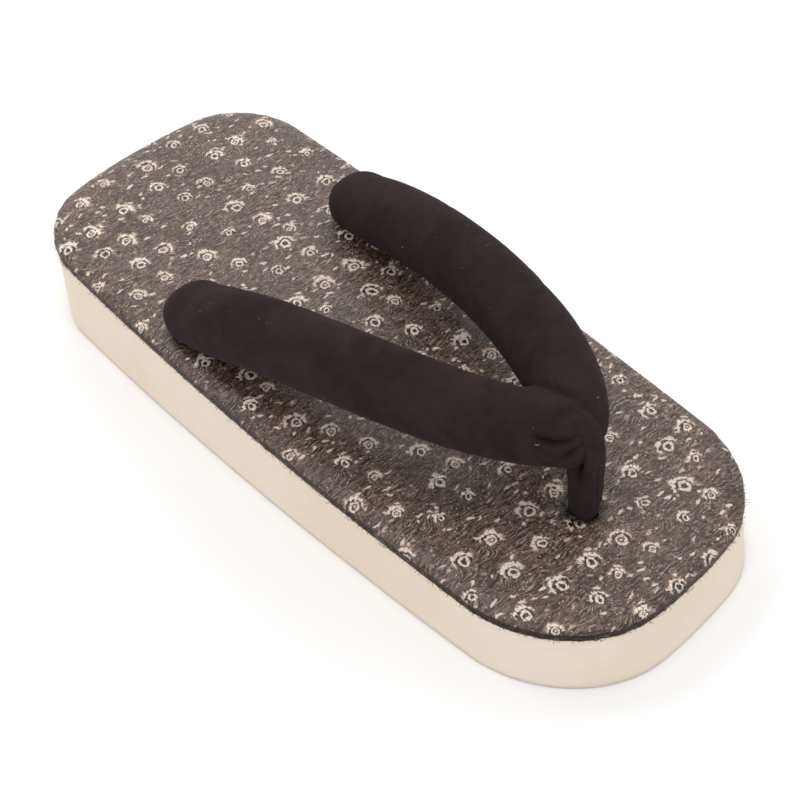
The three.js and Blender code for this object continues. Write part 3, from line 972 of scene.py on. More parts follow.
def makeCover():
    look = coverLook
    out = outwards(topRing)
    base = woodTop(topRing[:, 1]) + look["lift"]
    rings, sheets, overs = [], [], []
    puckers = wobble(topRing, 0, look["puckerPitch"]) * 2
    # the pleats gather where the sheet turns the corners
    bend = np.abs((np.roll(out, -6, 0) * np.roll(out, 6, 0)[:, ::-1] * [1, -1]).sum(1))
    least, more, most = look["gather"]
    gather = least + np.minimum(bend * more, most)

    def addRing(inset, rise, spread, pleat=0.0):
        ring = topRing - out * (inset - pleat * puckers * gather)[:, None]
        rings.append(np.c_[ring, base + rise])
        sheets.append(topRing + out * spread)
        overs.append(np.full(ringCount, 1 - np.clip(np.mean(rise) / (sheetRise - look["lift"]), 0, 1)))

    flat = np.zeros(ringCount)
    ragged = wobble(topRing, 0.9, look["raggedPitch"]) * look["ragged"]
    # the shoulder as (inset, rise): a tight turn, then a low crown that levels off
    steepest = math.radians(90 - look["crownAngle"])
    shoulder = [
        (look["turnRadius"] * (1 - math.cos(t)), look["wall"] + look["turnRadius"] * math.sin(t))
        for t in np.linspace(0, steepest, look["turnSteps"])
    ]
    startInset, startRise = shoulder[-1]
    crown = sheetRise - look["lift"] - startRise
    for t in np.linspace(0, 1, look["crownSteps"] + 1)[1:]:
        shoulder.append((startInset + look["crownWidth"] * t, startRise + crown * (2 * t - t * t)))
    walked = np.r_[0, np.cumsum(np.hypot(*np.diff(np.array(shoulder), axis=0).T))]
    spreads = walked[-1] - walked - shoulder[-1][0]
    edge = spreads[0]
    lap, tuck, pucker = look["overhang"], look["tuck"], look["pucker"]
    hem = (
        # inset, rise and pleat, from under the sheet up to its wall
        (look["underlap"], 0.0, 0.0), (0.5 * mm - lap, ragged - tuck, 0.0),
        (-lap, ragged - tuck * 0.75, pucker), (-lap, 0.25 * mm, pucker),
        (-lap * 0.9, look["wall"] * 0.5, pucker),
    )
    for (inset, rise, pleat), further in zip(hem, look["hemSheet"]):
        addRing(flat + inset, rise, edge + further, pleat)
    lowRings = len(rings)
    for k, ((inset, rise), spread) in enumerate(zip(shoulder, spreads)):
        share = 1 - k / (len(shoulder) - 1)
        addRing(flat + inset - lap * share, rise, spread, pucker * share)
    rim = rings[-1][:, :2]
    rimRise = rings[-1][:, 2] - woodTop(rim[:, 1])
    low, high = look["spine"]
    spine = np.c_[np.zeros(ringCount), np.clip(rim[:, 1], low, high)]
    spine[:, 1] = low + (high - low) * (0.5 - 0.5 * np.cos(np.pi * (spine[:, 1] - low) / (high - low)))
    for s in range(1, look["innerRings"] + 1):
        share = 0.985 * s / look["innerRings"]
        ring = rim * (1 - share) + spine * share
        rings.append(np.c_[ring, woodTop(ring[:, 1]) + rimRise])
        sheets.append(ring)
        overs.append(np.zeros(ringCount))
    shares = np.r_[np.zeros(lowRings), np.linspace(0, 1, len(shoulder)), np.ones(look["innerRings"])]
    fade = np.repeat(shares, ringCount)
    points, faces = ringSkin(rings)
    for i, p in enumerate(points):
        p[2] += coverRelief(p[0], p[1]) * fade[i]
    mesh = meshOf("paddedCover", points, faces)
    layer = mesh.uv_layers.new(name="flatSheet")
    flatPlace = np.concatenate(sheets)
    corners = np.zeros(len(mesh.loops), int)
    mesh.loops.foreach_get("vertex_index", corners)
    layer.data.foreach_set("uv", flatPlace[corners].astype(np.float32).ravel())
    depths = np.concatenate(overs)
    over = mesh.attributes.new("overEdge", "FLOAT", "POINT")
    over.data.foreach_set("value", depths.astype(np.float32))
    cover = newPiece("paddedCover", mesh, printedCover)
    mesh.materials.append(coverEdge)
    for face in mesh.polygons:
        face.material_index = int(min(depths[i] for i in face.vertices) > look["edgeFrom"])
    cutters = []
    for name, centre in holes.items():
        (r, along), lip = look["holeSize"][name], look["holeLip"]
        low = woodTop(centre[1]) - 3 * mm
        high = woodTop(centre[1]) + sheetRise + coverRelief(*centre)
        profile = [(r, low), (r, high - lip)]
        for t in (0.4, 0.8, 1.2, 1.5):
            profile.append((r + lip * (1 - math.cos(t)), high - lip + lip * math.sin(t)))
        profile.append((r + lip * 2.2, high + 2 * mm))
        shape = lathed(name + "Cutter", profile, centre, along - r)
        cutters.append(newPiece(name + "Cutter", shape, None))
    combined(cover, cutters, "DIFFERENCE")
    softShade(cover.data, look["sharpAngle"])
    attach(cover, "root")
    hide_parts("top_cover")


makeCover()
print("padded cover made")


# padded straps
strapLook = {
    # One arm from its rear end to the joint, in millimetres: x, y, z, half width, half
    # thickness, and the degrees by which its outer edge is turned down. The other arm is
    # its mirror image.
    "arm": [
        (35.6, -58.2, 36.0, 10.4, 8.6, 0),
        (35.6, -52.5, 36.4, 10.6, 9.0, 2),
        (35.2, -44.0, 37.9, 10.9, 9.6, 5),
        (34.2, -33.0, 41.0, 11.2, 10.6, 5),
        (32.1, -16.5, 45.6, 11.4, 11.0, 5),
        (28.6, 7.5, 50.0, 11.5, 11.0, 0),
        (23.2, 33.0, 52.6, 11.5, 10.6, -5),
        (15.0, 57.3, 53.2, 11.3, 10.2, -12),
        (6.0, 74.5, 52.2, 10.6, 9.6, -15),
        (0.5, 81.5, 51.4, 9.2, 8.6, -12),
        (-3.0, 84.6, 51.0, 7.4, 7.2, -10),
    ],
    # The outer arm laps over the inner one at the joint: how each is moved there.
    "lateral": {"side": 1, "start": 2.4, "across": -1.8, "forward": 0.0, "up": 0.8, "slim": 0.2},
    "medial": {"side": -1, "start": 0.4, "across": 1.0, "forward": -2.2, "up": -0.3, "slim": 0.6},
    "lapFrom": 58.0,  # the lap grows from here to the front
    "rearRound": 11.0,
    "frontRound": 7.5,
    "squareness": 2.35,
    "sides": 56,
    "steps": 150,
    "voxel": 1.13 * mm,
    "simScale": 12.0,  # the cloth is simulated this much larger
    "cloth": {
        "quality": 5, "mass": 0.12, "tension_stiffness": 12, "compression_stiffness": 6,
        "shear_stiffness": 4, "bending_stiffness": 0.08, "air_damping": 2,
        "use_pressure": True, "uniform_pressure_force": 4.0,
        "shrink_min": -0.008, "shrink_max": -0.008,  # the cloth is cut this much longer
    },
    "frames": 20,
    "cap": 0.9 * mm,
    "clearance": 0.15 * mm,
    "contact": 1.2 * mm,  # height over which a strap's underside flattens on the cover
    "heldSeam": 0.75,  # how firmly the seam underneath is held in the cloth simulation
}


def smoothRows(rows, count):
    # every column of a table as a smooth function of the distance along its line of points
    table = np.array(rows, float)
    walked = np.r_[0, np.cumsum(np.linalg.norm(np.diff(table[:, :3], axis=0), axis=1))]
    rate = np.gradient(table, walked, axis=0)
    wanted = np.linspace(0, walked[-1], count)
    i = np.clip(np.searchsorted(walked, wanted, side="right") - 1, 0, len(rows) - 2)
    span = (walked[i + 1] - walked[i])[:, None]
    t = (wanted - walked[i])[:, None] / span
    values = (2 * t**3 - 3 * t**2 + 1) * table[i] + (t**3 - 2 * t**2 + t) * span * rate[i]
    values += (3 * t**2 - 2 * t**3) * table[i + 1] + (t**3 - t**2) * span * rate[i + 1]
    return values, wanted


def headings(middle):
    # unit vectors along a line of points
    along = np.gradient(middle, axis=0)
    return along / np.linalg.norm(along, axis=1)[:, None]


def padRing(centre, out, up, wide, thick, look):
    # a rounded rectangle across a strap
    turns = np.linspace(0, 2 * math.pi, look["sides"], endpoint=False)
    c, s = np.cos(turns), np.sin(turns)
    across = wide * np.sign(c) * np.abs(c) ** (2 / look["squareness"])
    upward = thick * np.sign(s) * np.abs(s) ** (2 / look["squareness"])
    return centre + across[:, None] * out + upward[:, None] * up


def smoothStep(low, high, value):
    t = np.clip((value - low) / (high - low), 0, 1)
    return t * t * (3 - 2 * t)


def roundEnd(distance, reach):
    share = 1 - np.clip(distance / reach, 0.012, 1)
    return (1 - share**2.1) ** (1 / 2.1)


def makeArm(name):
    look, own = strapLook, strapLook[name]
    table = np.array(look["arm"], float)
    rear, front = table[0, 1], table[-1, 1]
    lap = smoothStep(look["lapFrom"], front, table[:, 1])
    table[:, 1] += own["start"] * (front - table[:, 1]) / (front - rear)
    shift = (own["across"], own["forward"], own["up"], -own["slim"], -own["slim"])
    table[:, :5] += lap[:, None] * shift
    values, walked = smoothRows(table, look["steps"])
    middle = values[:, :3] * mm
    along = headings(middle)
    size = roundEnd(walked, look["rearRound"]) * roundEnd(walked[-1] - walked, look["frontRound"])
    rings = []
    for k in range(len(values)):
        forward = Vector(along[k])
        out = Vector((1, 0, 0))
        out = (out - forward * out.dot(forward)).normalized()
        out.rotate(Quaternion(forward, math.radians(values[k, 5])))
        up = out.cross(forward)
        wide, thick = values[k, 3:5] * mm * size[k]
        ring = padRing(middle[k], np.array(out), np.array(up), wide, thick, look)
        ring[:, 0] *= own["side"]
        rings.append(ring)
    arm = newPiece(name + "Arm", meshOf(name + "Arm", *ringSkin(rings)), None)
    facesOut(arm.data)
    return arm


def evenMesh(piece, voxel):
    reworked(
        piece, "REMESH", mode="VOXEL", voxel_size=voxel, adaptivity=0, use_smooth_shade=True
    )


def relax(piece, rounds):
    reworked(piece, "SMOOTH", iterations=rounds, factor=0.5)


def plump(piece, look, held):
    # the padding pushes the cloth out between the places where it is held
    start = readPoints(piece.data)
    writePoints(piece.data, start * look["simScale"])
    group = piece.vertex_groups.new(name="held")
    for weight in (0.25, 0.5, 0.75, 1.0):
        chosen = np.nonzero((held > weight - 0.25) & (held <= weight))[0]
        group.add([int(i) for i in chosen], weight, "REPLACE")
    cloth = piece.modifiers.new("cloth", "CLOTH")
    for name, value in look["cloth"].items():
        setattr(cloth.settings, name, value)
    cloth.settings.vertex_group_mass = "held"
    cloth.settings.effector_weights.gravity = 0
    cloth.collision_settings.use_self_collision = False
    cloth.point_cache.frame_start = 1
    cloth.point_cache.frame_end = look["frames"]
    for step in range(1, look["frames"] + 1):
        bpy.context.scene.frame_set(step)
    baked(piece)
    bpy.context.scene.frame_set(1)
    piece.vertex_groups.clear()
    moved = readPoints(piece.data) / look["simScale"] - start
    length = np.linalg.norm(moved, axis=1)
    print("  cloth moved, mm:", round(float(np.median(length)) * 1000, 3), "at the median")
    moved *= (np.minimum(length, look["cap"]) / np.maximum(length, 1e-9))[:, None]
    writePoints(piece.data, start + moved)


# Troughs, each with a soft ridge on both sides, in millimetres: the trough's half width and
# depth, the ridges' height, and the points of the line that it follows on the sandal.
strapCreases = [
    # where the outer arm laps over the inner one
    (1.3, 0.9, 0.25, [(-1.0, 60.0, 54.0), (-1.6, 66.0, 58.5), (-2.2, 71.2, 60.6), (-3.4, 76.0, 60.9),
      (-3.6, 81.5, 60.6)]),
    # the short tuck at the loop's top
    (0.9, 1.9, 0.2, [(1.6, 79.6, 62.0), (-1.0, 82.0, 61.4), (-3.6, 84.6, 59.8)]),
    # the outer arm's nose, gathered in to the loop
    (1.0, 2.4, 0.4, [(14.4, 77.0, 60.0), (13.0, 79.0, 59.2), (10.6, 82.2, 58.0), (7.9, 84.6, 58.3),
      (4.0, 86.0, 58.9)]),
    (0.95, 1.9, 0.35, [(10.8, 84.6, 53.6), (8.6, 86.0, 54.7), (6.4, 87.2, 56.0), (4.0, 87.8, 57.2)]),
    (1.6, 0.6, 0.25, [(11.5, 84.0, 49.5), (8.2, 86.3, 49.6), (4.2, 87.8, 50.2)]),
    # the inner arm's nose, the same but fainter
    (1.5, 0.7, 0.3, [(-12.0, 79.5, 58.5), (-8.4, 83.6, 58.0), (-4.0, 86.0, 58.0)]),
    (1.4, 0.6, 0.25, [(-11.2, 84.0, 52.0), (-7.4, 86.6, 52.4), (-3.8, 88.0, 53.2)]),
    # slack on the inner side of the bends, under the joint and in the V
    (1.8, 0.6, 0.3, [(9.0, 62.0, 47.5), (4.4, 66.0, 46.5), (0.2, 70.0, 46.0)]),
    (1.8, 0.6, 0.3, [(-9.0, 62.0, 47.5), (-4.6, 66.0, 46.5), (0.2, 70.0, 46.0)]),
    (1.6, 0.7, 0.3, [(10.0, 74.0, 43.6), (5.2, 77.4, 42.6), (2.0, 79.0, 42.4)]),
    (1.6, 0.7, 0.3, [(-10.0, 74.0, 43.6), (-5.2, 77.4, 42.6), (-1.6, 79.0, 42.4)]),
    # broad, shallow dips where the padding has settled along the arms
    (4.5, 0.35, 0.1, [(44.0, -30.0, 43.0), (38.0, -25.0, 52.0)]),
    (5.0, 0.30, 0.1, [(41.0, 2.0, 50.0), (33.0, 8.0, 59.5)]),
    (5.0, 0.30, 0.1, [(33.0, 38.0, 54.0), (24.0, 42.0, 61.0)]),
    (5.0, 0.35, 0.1, [(-26.0, -22.0, 50.0), (-20.0, -12.0, 46.0)]),
    (5.0, 0.30, 0.1, [(-28.0, 20.0, 61.0), (-18.0, 26.0, 59.0)]),
    (4.0, 0.35, 0.1, [(-20.0, 48.0, 61.0), (-10.0, 52.0, 59.0)]),
]


def pressCreases(mesh, creases):
    points = readPoints(mesh) * 1000
    shift = np.zeros(len(points))
    for width, depth, ridge, line in creases:
        line = np.array(line)
        best = np.full(len(points), 1e9)
        share = np.zeros(len(points))
        for i in range(len(line) - 1):
            start, step = line[i], line[i + 1] - line[i]
            t = np.clip(((points - start) @ step) / (step @ step), 0, 1)
            away = np.linalg.norm(points - start - t[:, None] * step, axis=1)
            closer = away < best
            best[closer] = away[closer]
            share[closer] = (i + t[closer]) / (len(line) - 1)
        fade = np.sin(np.pi * np.clip(share, 0.02, 0.98)) ** 0.6  # to nothing at both ends
        near = best / width
        shift -= depth * fade * np.exp(-(near**2))
        shift += ridge * fade * np.exp(-((near - 2.1) ** 2))
    writePoints(mesh, (points + readRows(mesh.vertex_normals, "vector") * shift[:, None]) * mm)


def coverTop(x, y):
    return woodTop(y) + sheetRise + coverRelief(x, y)


def seatOnCover(mesh):
    # nothing of a strap goes under the cover's surface
    clearance, soft = strapLook["clearance"], strapLook["contact"]
    points = readPoints(mesh)
    low = points[:, 2] < coverHigh.z + 3 * mm
    for i in np.nonzero(low)[0]:
        ground = coverTop(points[i, 0], points[i, 1]) + clearance
        over = points[i, 2] - ground
        if over < soft:
            points[i, 2] = ground + max(over, 0) + soft / 4 * max(1 - abs(over) / soft, 0) ** 2
    writePoints(mesh, points)


# toe loop
loopLook = {
    # One folded band, in millimetres: up out of the hole in front of the nose, over it, into the
    # tuck between the arms, out under the joint and down into the hole again. The columns are
    # x, y, z, half width and half thickness.
    "band": [
        (0.7, 86.3, 9.0, 2.8, 2.2),
        (0.7, 86.5, 18.0, 2.9, 2.2),
        (0.7, 87.3, 24.0, 3.4, 2.4),
        (0.7, 87.9, 31.0, 3.9, 2.7),
        (0.7, 88.2, 39.0, 3.8, 2.4),
        (0.7, 88.7, 46.0, 3.8, 1.9),
        (0.7, 88.2, 52.5, 3.7, 1.7),
        (0.7, 86.2, 57.4, 3.6, 1.6),
        (0.7, 83.0, 60.0, 3.3, 1.4),
        (0.7, 80.2, 59.0, 2.6, 1.2),
        (0.7, 78.0, 55.5, 2.3, 1.1),
        (0.7, 78.2, 50.0, 2.5, 1.3),
        (0.7, 82.0, 44.0, 3.4, 2.9),
        (0.7, 83.5, 38.5, 3.6, 3.0),
        (0.7, 83.9, 31.0, 3.6, 2.7),
        (0.7, 84.1, 24.0, 3.2, 2.4),
        (0.7, 84.1, 18.0, 2.9, 2.1),
        (0.7, 84.1, 9.0, 2.8, 2.1),
    ],
    "steps": 220,
    "sides": 36,
    "squareness": 2.7,
    "voxel": 0.50 * mm,
    "groove": 1.1 * mm,  # how far past the band's edge the straps are drawn in
    "proudNose": 0.6 * mm,  # how far the band stands out of them in front
    "proudTop": 0.02 * mm,  # and where it goes into the tuck
    "noseFrom": (0.0805, 0.040),  # y and z past which the band draws the straps in
    "topFrom": (0.053, 0.060),  # heights where the band's top begins, and is full
}

loopCreases = [
    # lengthwise folds of the band
    (0.55, 0.40, 0.12, [(1.7, 90.6, 49.0), (1.5, 90.9, 42.0), (1.2, 90.3, 34.0), (1.6, 89.6, 26.0)]),
    (0.5, 0.30, 0.1, [(-1.9, 90.4, 40.0), (-2.1, 90.2, 33.0), (-1.6, 89.4, 26.0)]),
    (0.5, 0.22, 0.08, [(1.4, 90.3, 54.0), (1.2, 88.2, 58.6), (0.9, 85.0, 61.0)]),
    # slack across it, under the nose and over the hole
    (0.7, 0.35, 0.15, [(3.6, 88.8, 43.5), (1.0, 91.0, 42.6), (-2.4, 90.6, 42.0)]),
    (0.6, 0.30, 0.12, [(3.4, 88.4, 37.2), (1.6, 90.6, 36.4)]),
    (0.6, 0.40, 0.15, [(3.4, 87.4, 27.4), (0.6, 89.6, 28.4), (-3.0, 88.2, 28.0)]),
    (0.6, 0.30, 0.12, [(-3.6, 88.0, 33.5), (-1.6, 90.2, 32.0)]),
    (0.7, 0.3, 0.1, [(3.4, 82.0, 36.0), (3.2, 83.6, 29.0)]),
    (0.7, 0.35, 0.15, [(3.2, 79.4, 42.0), (0.0, 77.6, 41.0), (-3.2, 79.4, 42.0)]),
]


def bandLine():
    look = loopLook
    values, _ = smoothRows(look["band"], look["steps"])
    middle = values[:, :3] * mm
    along = headings(middle)
    face = np.c_[np.zeros(len(along)), along[:, 2], -along[:, 1]]  # square to the band, outwards
    return middle, face, values[:, 3] * mm, values[:, 4] * mm


def drawIn(mesh):
    # the straps give way under the band
    look = loopLook
    middle, face, wide, thick = bandLine()
    noseY, noseZ = look["noseFrom"]
    front = (middle[:, 2] > noseZ) & (middle[:, 1] > noseY)
    middle, face, wide, thick = middle[front], face[front], wide[front], thick[front]
    points = readPoints(mesh)
    aside = np.abs(points[:, 0] - middle[0, 0])
    for i in np.nonzero((aside < 7 * mm) & (points[:, 1] > 0.078))[0]:
        offset = points[i, 1:] - middle[:, 1:]
        k = int(np.argmin((offset**2).sum(1)))
        height = float(offset[k] @ face[k, 1:])
        across = aside[i] - wide[k]
        fade = 1 - float(smoothStep(-0.3 * mm, look["groove"] * 2.0, across))
        top = float(smoothStep(*look["topFrom"], middle[k, 2]))
        over = height - thick[k] + look["proudNose"] * (1 - top) + look["proudTop"] * top
        if over > 0:
            points[i] -= face[k] * over * fade
    writePoints(mesh, points)


def makeStraps():
    look = strapLook
    straps = makeArm("lateral")
    straps.name = "paddedStraps"
    combined(straps, [makeArm("medial")], "UNION")
    evenMesh(straps, look["voxel"])
    relax(straps, 3)
    points = readPoints(straps.data)
    drawIn(straps.data)
    seatOnCover(straps.data)
    # held where it lies on the cover, under the loop, and along its seam underneath
    now = readPoints(straps.data)
    moved = np.linalg.norm(now - points, axis=1)
    held = smoothStep(0.0, 0.4 * mm, moved)
    normals = readRows(straps.data.vertex_normals, "vector")
    held = np.maximum(held, smoothStep(0.90, 0.995, -normals[:, 2]) * look["heldSeam"])
    plump(straps, look, held)
    drawIn(straps.data)
    seatOnCover(straps.data)
    relax(straps, 2)
    reworked(straps, "SUBSURF", levels=1, render_levels=1)
    pressCreases(straps.data, strapCreases)
    seatOnCover(straps.data)
    softShade(straps.data, 180)
    straps.data.materials.append(strapCloth)
    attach(straps, "root")
    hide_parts("strap_upper")
    return straps


def makeLoop():
    look = loopLook
    middle, face, wide, thick = bandLine()
    across = np.array([1.0, 0.0, 0.0])
    rings = []
    for k in range(len(middle)):
        rings.append(padRing(middle[k], across, face[k], wide[k], thick[k], look))
    loop = newPiece("toeLoop", meshOf("toeLoop", *ringSkin(rings)), None)
    facesOut(loop.data)
    evenMesh(loop, look["voxel"])
    relax(loop, 4)
    reworked(loop, "SUBSURF", levels=1, render_levels=1)
    pressCreases(loop.data, loopCreases)
    softShade(loop.data, 180)
    loop.data.materials.append(strapCloth)
    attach(loop, "root")
    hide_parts("toe_loop")
    return loop


paddedStraps = makeStraps()
print("padded straps made", len(paddedStraps.data.polygons))
toeLoop = makeLoop()
print("toe loop made", len(toeLoop.data.polygons))


# small things that follow a path or a surface
def treeStart(name, sizes, counts=()):
    tree = bpy.data.node_groups.new(name, "GeometryNodeTree")
    tree.interface.new_socket("Geometry", in_out="INPUT", socket_type="NodeSocketGeometry")
    for label in sizes:
        tree.interface.new_socket(label, in_out="INPUT", socket_type="NodeSocketFloat")
    for label in counts:
        tree.interface.new_socket(label, in_out="INPUT", socket_type="NodeSocketInt")
    tree.interface.new_socket("Geometry", in_out="OUTPUT", socket_type="NodeSocketGeometry")
    return tree, tree.nodes.new("NodeGroupInput").outputs, tree.nodes.new("NodeGroupOutput").inputs


def addNode(tree, kind, settings=None, **links):
    node = tree.nodes.new(kind)
    for key, value in (settings or {}).items():
        setattr(node, key, value)
    for name, value in links.items():
        feed(node.inputs[name.replace("_", " ")], value)
    return node


def treeEnd(tree, shape, material, result):
    real = addNode(tree, "GeometryNodeRealizeInstances", Geometry=shape)
    painted = addNode(tree, "GeometryNodeSetMaterial", Geometry=real.outputs[0], Material=material)
    tree.links.new(painted.outputs[0], result["Geometry"])


def tubeAlong(tree, line, radius, sides):
    disc = addNode(tree, "GeometryNodeCurvePrimitiveCircle", Resolution=sides, Radius=radius)
    tube = addNode(
        tree, "GeometryNodeCurveToMesh",
        Curve=line, Profile_Curve=disc.outputs[0], Fill_Caps=True,
    )
    return tube.outputs[0]


def bentFibre(tree, length, thickness, bow, sides):
    # one short bent thread, lying along X
    half = times(length, 0.5)
    line = addNode(
        tree, "GeometryNodeCurveQuadraticBezier",
        Resolution=4,
        Start=join3(times(half, -1.0), 0.0),
        Middle=join3(0.0, 0.0, times(length, bow)),
        End=join3(half, 0.0),
    )
    return tubeAlong(tree, line.outputs[0], thickness, sides)


def makeScatterTree(material, alongPath):
    # threads strewn along a path, or over a surface
    tree, given, result = treeStart(
        "edgeFibres" if alongPath else "lintFibres", ("Amount", "Length", "Thickness", "Spread"), ("Seed",)
    )
    if alongPath:
        path = addNode(tree, "GeometryNodeMeshToCurve", Mesh=given["Geometry"])
        places = addNode(tree, "GeometryNodeCurveToPoints", {"mode": "COUNT"}, Curve=path.outputs[0],
                         Count=given["Amount"])
    else:
        places = addNode(tree, "GeometryNodeDistributePointsOnFaces", Mesh=given["Geometry"],
                         Density=given["Amount"], Seed=given["Seed"])

    def anyVector(most, seed):
        # a random vector between plus and minus the most
        least = tuple(-value for value in most)
        return addNode(tree, "FunctionNodeRandomValue", {"data_type": "FLOAT_VECTOR"},
                       Min=least, Max=most, Seed=seed).outputs["Value"]

    drift = anyVector((1, 1, 0.35), given["Seed"])
    moved = addNode(tree, "GeometryNodeSetPosition", Geometry=places.outputs[0],
                    Offset=scaled(drift, given["Spread"]))
    turn = anyVector((3.14, 0.5, 3.14), plus(given["Seed"], 7))
    grow = addNode(tree, "FunctionNodeRandomValue", {"data_type": "FLOAT"},
                   Seed=plus(given["Seed"], 13))
    grow.inputs[2].default_value = 0.35
    grow.inputs[3].default_value = 1.0
    fibre = bentFibre(tree, given["Length"], given["Thickness"], 0.35, 4)
    strewn = addNode(tree, "GeometryNodeInstanceOnPoints", Points=moved.outputs[0], Instance=fibre,
                     Rotation=turn, Scale=grow.outputs[1])
    treeEnd(tree, strewn.outputs[0], material, result)
    return tree


def makeStitchTree(material):
    # even stitches along a path
    tree, given, result = treeStart("stitchRun", ("Pitch", "Length", "Thickness"))
    path = addNode(tree, "GeometryNodeMeshToCurve", Mesh=given["Geometry"])
    places = addNode(tree, "GeometryNodeCurveToPoints", {"mode": "LENGTH"}, Curve=path.outputs[0],
                     Length=given["Pitch"])
    upright = addNode(tree, "FunctionNodeRotateRotation", {"rotation_space": "LOCAL"})
    feed(upright.inputs[0], places.outputs["Rotation"])
    upright.inputs[1].default_value = (0, math.pi / 2, 0)  # the thread's X along the path
    stitch = bentFibre(tree, given["Length"], given["Thickness"], 0.12, 6)
    sewn = addNode(tree, "GeometryNodeInstanceOnPoints", Points=places.outputs[0], Instance=stitch,
                   Rotation=upright.outputs[0])
    treeEnd(tree, sewn.outputs[0], material, result)
    return tree


def makeCordTree(material):
    # a round cord along a path
    tree, given, result = treeStart("cordRun", ("Radius",), ("Sides",))
    path = addNode(tree, "GeometryNodeMeshToCurve", Mesh=given["Geometry"])
    tube = tubeAlong(tree, path.outputs[0], given["Radius"], given["Sides"])
    smooth = addNode(tree, "GeometryNodeSetShadeSmooth", Geometry=tube)
    treeEnd(tree, smooth.outputs[0], material, result)
    return tree


def grown(name, mesh, tree, sizes):
    # a path or surface mesh, replaced by what its tree grows on it
    piece = newPiece(name, mesh, None)
    grow = piece.modifiers.new("grow", "NODES")
    grow.node_group = tree
    for item in tree.interface.items_tree:
        if item.in_out == "INPUT" and item.name in sizes:
            grow[item.identifier] = sizes[item.name]
    return baked(piece)


def pathMesh(name, lines):
    # polylines given as (points, closed), in metres
    points, edges = [], []
    for line, closed in lines:
        first, count = len(points), len(line)
        points += [tuple(p) for p in line]
        edges += [(first + i, first + i + 1) for i in range(count - 1)]
        if closed:
            edges.append((first + count - 1, first))
    mesh = bpy.data.meshes.new(name)
    mesh.from_pydata(points, edges, [])
    return mesh


def joined(name, parts):
    # several meshes as one piece
    tool = bmesh.new()
    for part in parts:
        tool.from_mesh(part.data)
    mesh = bpy.data.meshes.new(name)
    tool.to_mesh(mesh)
    tool.free()
    for part in parts:
        for material in part.data.materials:
            if material.name not in mesh.materials:
                mesh.materials.append(material)
        old = part.data
        bpy.data.objects.remove(part)
        bpy.data.meshes.remove(old)
    return newPiece(name, mesh, None)


# frayed threads at the cover's edge
fibreSizes = {
    "Amount": 900,
    "Length": 2.4 * mm,
    "Thickness": 0.085 * mm,
    "Spread": 0.35 * mm,
    "Seed": 11,
}


def makeEdgeFibres():
    ring = topRing + outwards(topRing) * (coverLook["overhang"] + 0.05 * mm)
    path = pathMesh("edgeFibres", [(np.c_[ring, woodTop(ring[:, 1]) + 0.15 * mm], True)])
    fibres = grown("edgeFibres", path, makeScatterTree(cutFibre, True), fibreSizes)
    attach(fibres, "root")


# lint on the straps
lintSizes = {
    "Amount": 1900.0,  # a square metre
    "Length": 1.6 * mm,
    "Thickness": 0.06 * mm,
    "Spread": 0.15 * mm,
    "Seed": 4,
}


def makeLint(straps):
    lint = grown("strapLint", straps.data.copy(), makeScatterTree(lintPale, False), lintSizes)
    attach(lint, "root")


# seam under the straps
seamLook = {
    "from": -36.0,  # millimetres along the sandal, where the arm has left the cover
    "to": 70.0,
    "stitch": {"Pitch": 3.4 * mm, "Length": 2.3 * mm, "Thickness": 0.22 * mm},
}


def seamLine(side):
    # the arm's lowest line, laid on the finished cloth
    values, _ = smoothRows(strapLook["arm"], 120)
    line = []
    for x, y, z, _, thick, _ in values * [side, 1, 1, 1, 1, 1]:
        if seamLook["from"] < y < seamLook["to"]:
            _, place, normal, _ = paddedStraps.closest_point_on_mesh(
                Vector((x, y, z - thick)) * mm
            )
            line.append(tuple(place + normal * 0.05 * mm))
    return line


def makeSeam():
    path = pathMesh("seamStitches", [(seamLine(side), False) for side in (1, -1)])
    seam = grown("seamStitches", path, makeStitchTree(cordCotton), seamLook["stitch"])
    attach(seam, "root")


# cords and knots under the sole
knotLook = {
    "middle": 5.6 * mm,  # height of a knot's middle over the floor
    "size": 1.72 * mm,
    "rise": 1.7 * mm,
    "cord": 2.15 * mm,
    "stemTop": {"lateral": 34.5 * mm, "medial": 34.5 * mm},
    "stemCord": 2.0 * mm,
    "twist": 26 * mm,  # height of one full turn of the two cords
    "tailCord": 0.72,  # a cut end's thickness, as a share of the knot's
    "tailApart": 2.2,  # radians between the two cut ends
    "tailReach": (2.5, 6.2),  # millimetres: where an end leaves the knot, and how far it goes
    "tailSag": 2.2 * mm,
}


def roundAbout(centre, radius, angle, height):
    return np.c_[centre[0] + radius * np.cos(angle), centre[1] + radius * np.sin(angle), height]


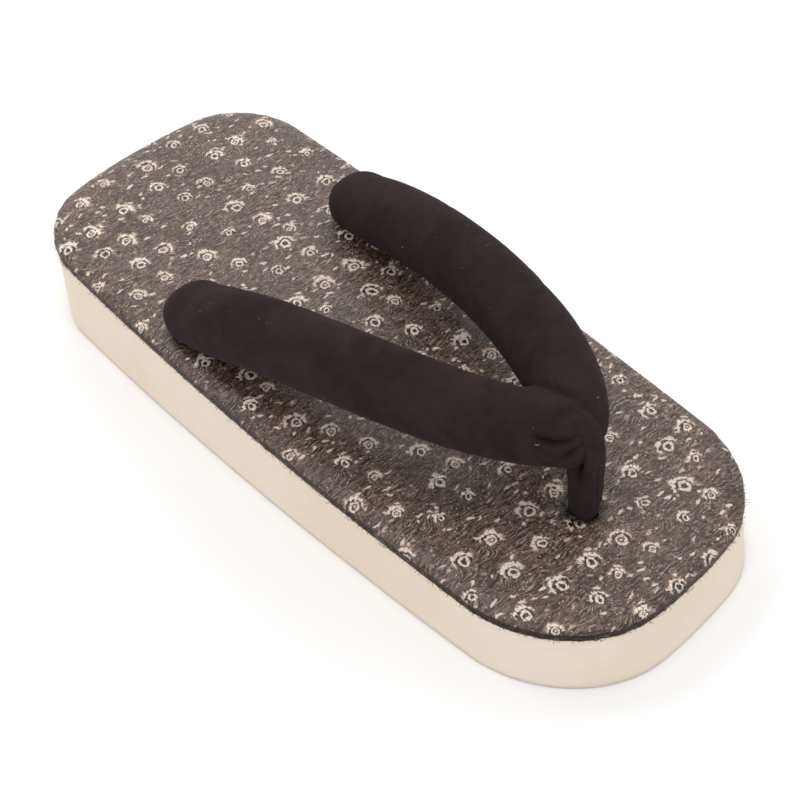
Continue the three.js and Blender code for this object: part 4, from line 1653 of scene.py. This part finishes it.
def knotPath(centre, turned):
    # one closed trefoil, lying flat in its pocket
    look = knotLook
    t = np.linspace(0, 2 * math.pi, 72, endpoint=False)
    x = (np.sin(t) + 2 * np.sin(2 * t)) * look["size"]
    y = (np.cos(t) - 2 * np.cos(2 * t)) * look["size"]
    z = look["middle"] - np.sin(3 * t) * look["rise"]
    c, s = math.cos(turned), math.sin(turned)
    return np.c_[centre[0] + x * c - y * s, centre[1] + x * s + y * c, z]


def tailPaths(centre, turned):
    # the two cut ends that leave the knot
    look = knotLook
    begin, run = look["tailReach"]
    share = np.linspace(0, 1, 10)
    radius = (begin + share * run) * mm
    tails = []
    for apart in (0.0, look["tailApart"]):
        angle = turned + 0.9 + apart
        height = look["middle"] - look["tailSag"] * np.sin(share * 2.4) + 1.2 * mm * share
        bend = angle + share * 0.7
        tails.append(roundAbout(centre, radius, bend, height))
    return tails


def stemPaths(centre, top):
    # two cords twisted round each other, from the knot up into the strap
    look = knotLook
    height = np.linspace(look["middle"], top, 46)
    paths = []
    for start in (0.4, 0.4 + math.pi):
        angle = start + height / look["twist"] * 2 * math.pi
        paths.append(roundAbout(centre, look["stemCord"], angle, height))
    return paths


def makeCords():
    look = knotLook
    cordTree = makeCordTree(cordCotton)

    def cords(name, lines, radius):
        return grown(name, pathMesh(name, lines), cordTree, {"Radius": radius, "Sides": 16})

    for name, node, places in (
        ("rearKnots", "strap_upper", ("lateral", "medial")),
        ("toeKnot", "toe_loop", ("toe",)),
    ):
        parts = []
        for k, place in enumerate(places):
            centre, turned = holes[place], 0.5 + 1.7 * k
            parts.append(cords(place + "Knot", [(knotPath(centre, turned), True)], look["cord"]))
            tails = [(tail, False) for tail in tailPaths(centre, turned)]
            parts.append(cords(place + "Tails", tails, look["cord"] * look["tailCord"]))
            if place in look["stemTop"]:
                stems = [(stem, False) for stem in stemPaths(centre, look["stemTop"][place])]
                parts.append(cords(place + "Stem", stems, look["stemCord"]))
        piece = joined(name, parts)
        facesOut(piece.data)
        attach(piece, "root")
        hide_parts(node)


makeEdgeFibres()
makeLint(paddedStraps)
makeSeam()
makeCords()
print("fibres, seam, lint and cords made")
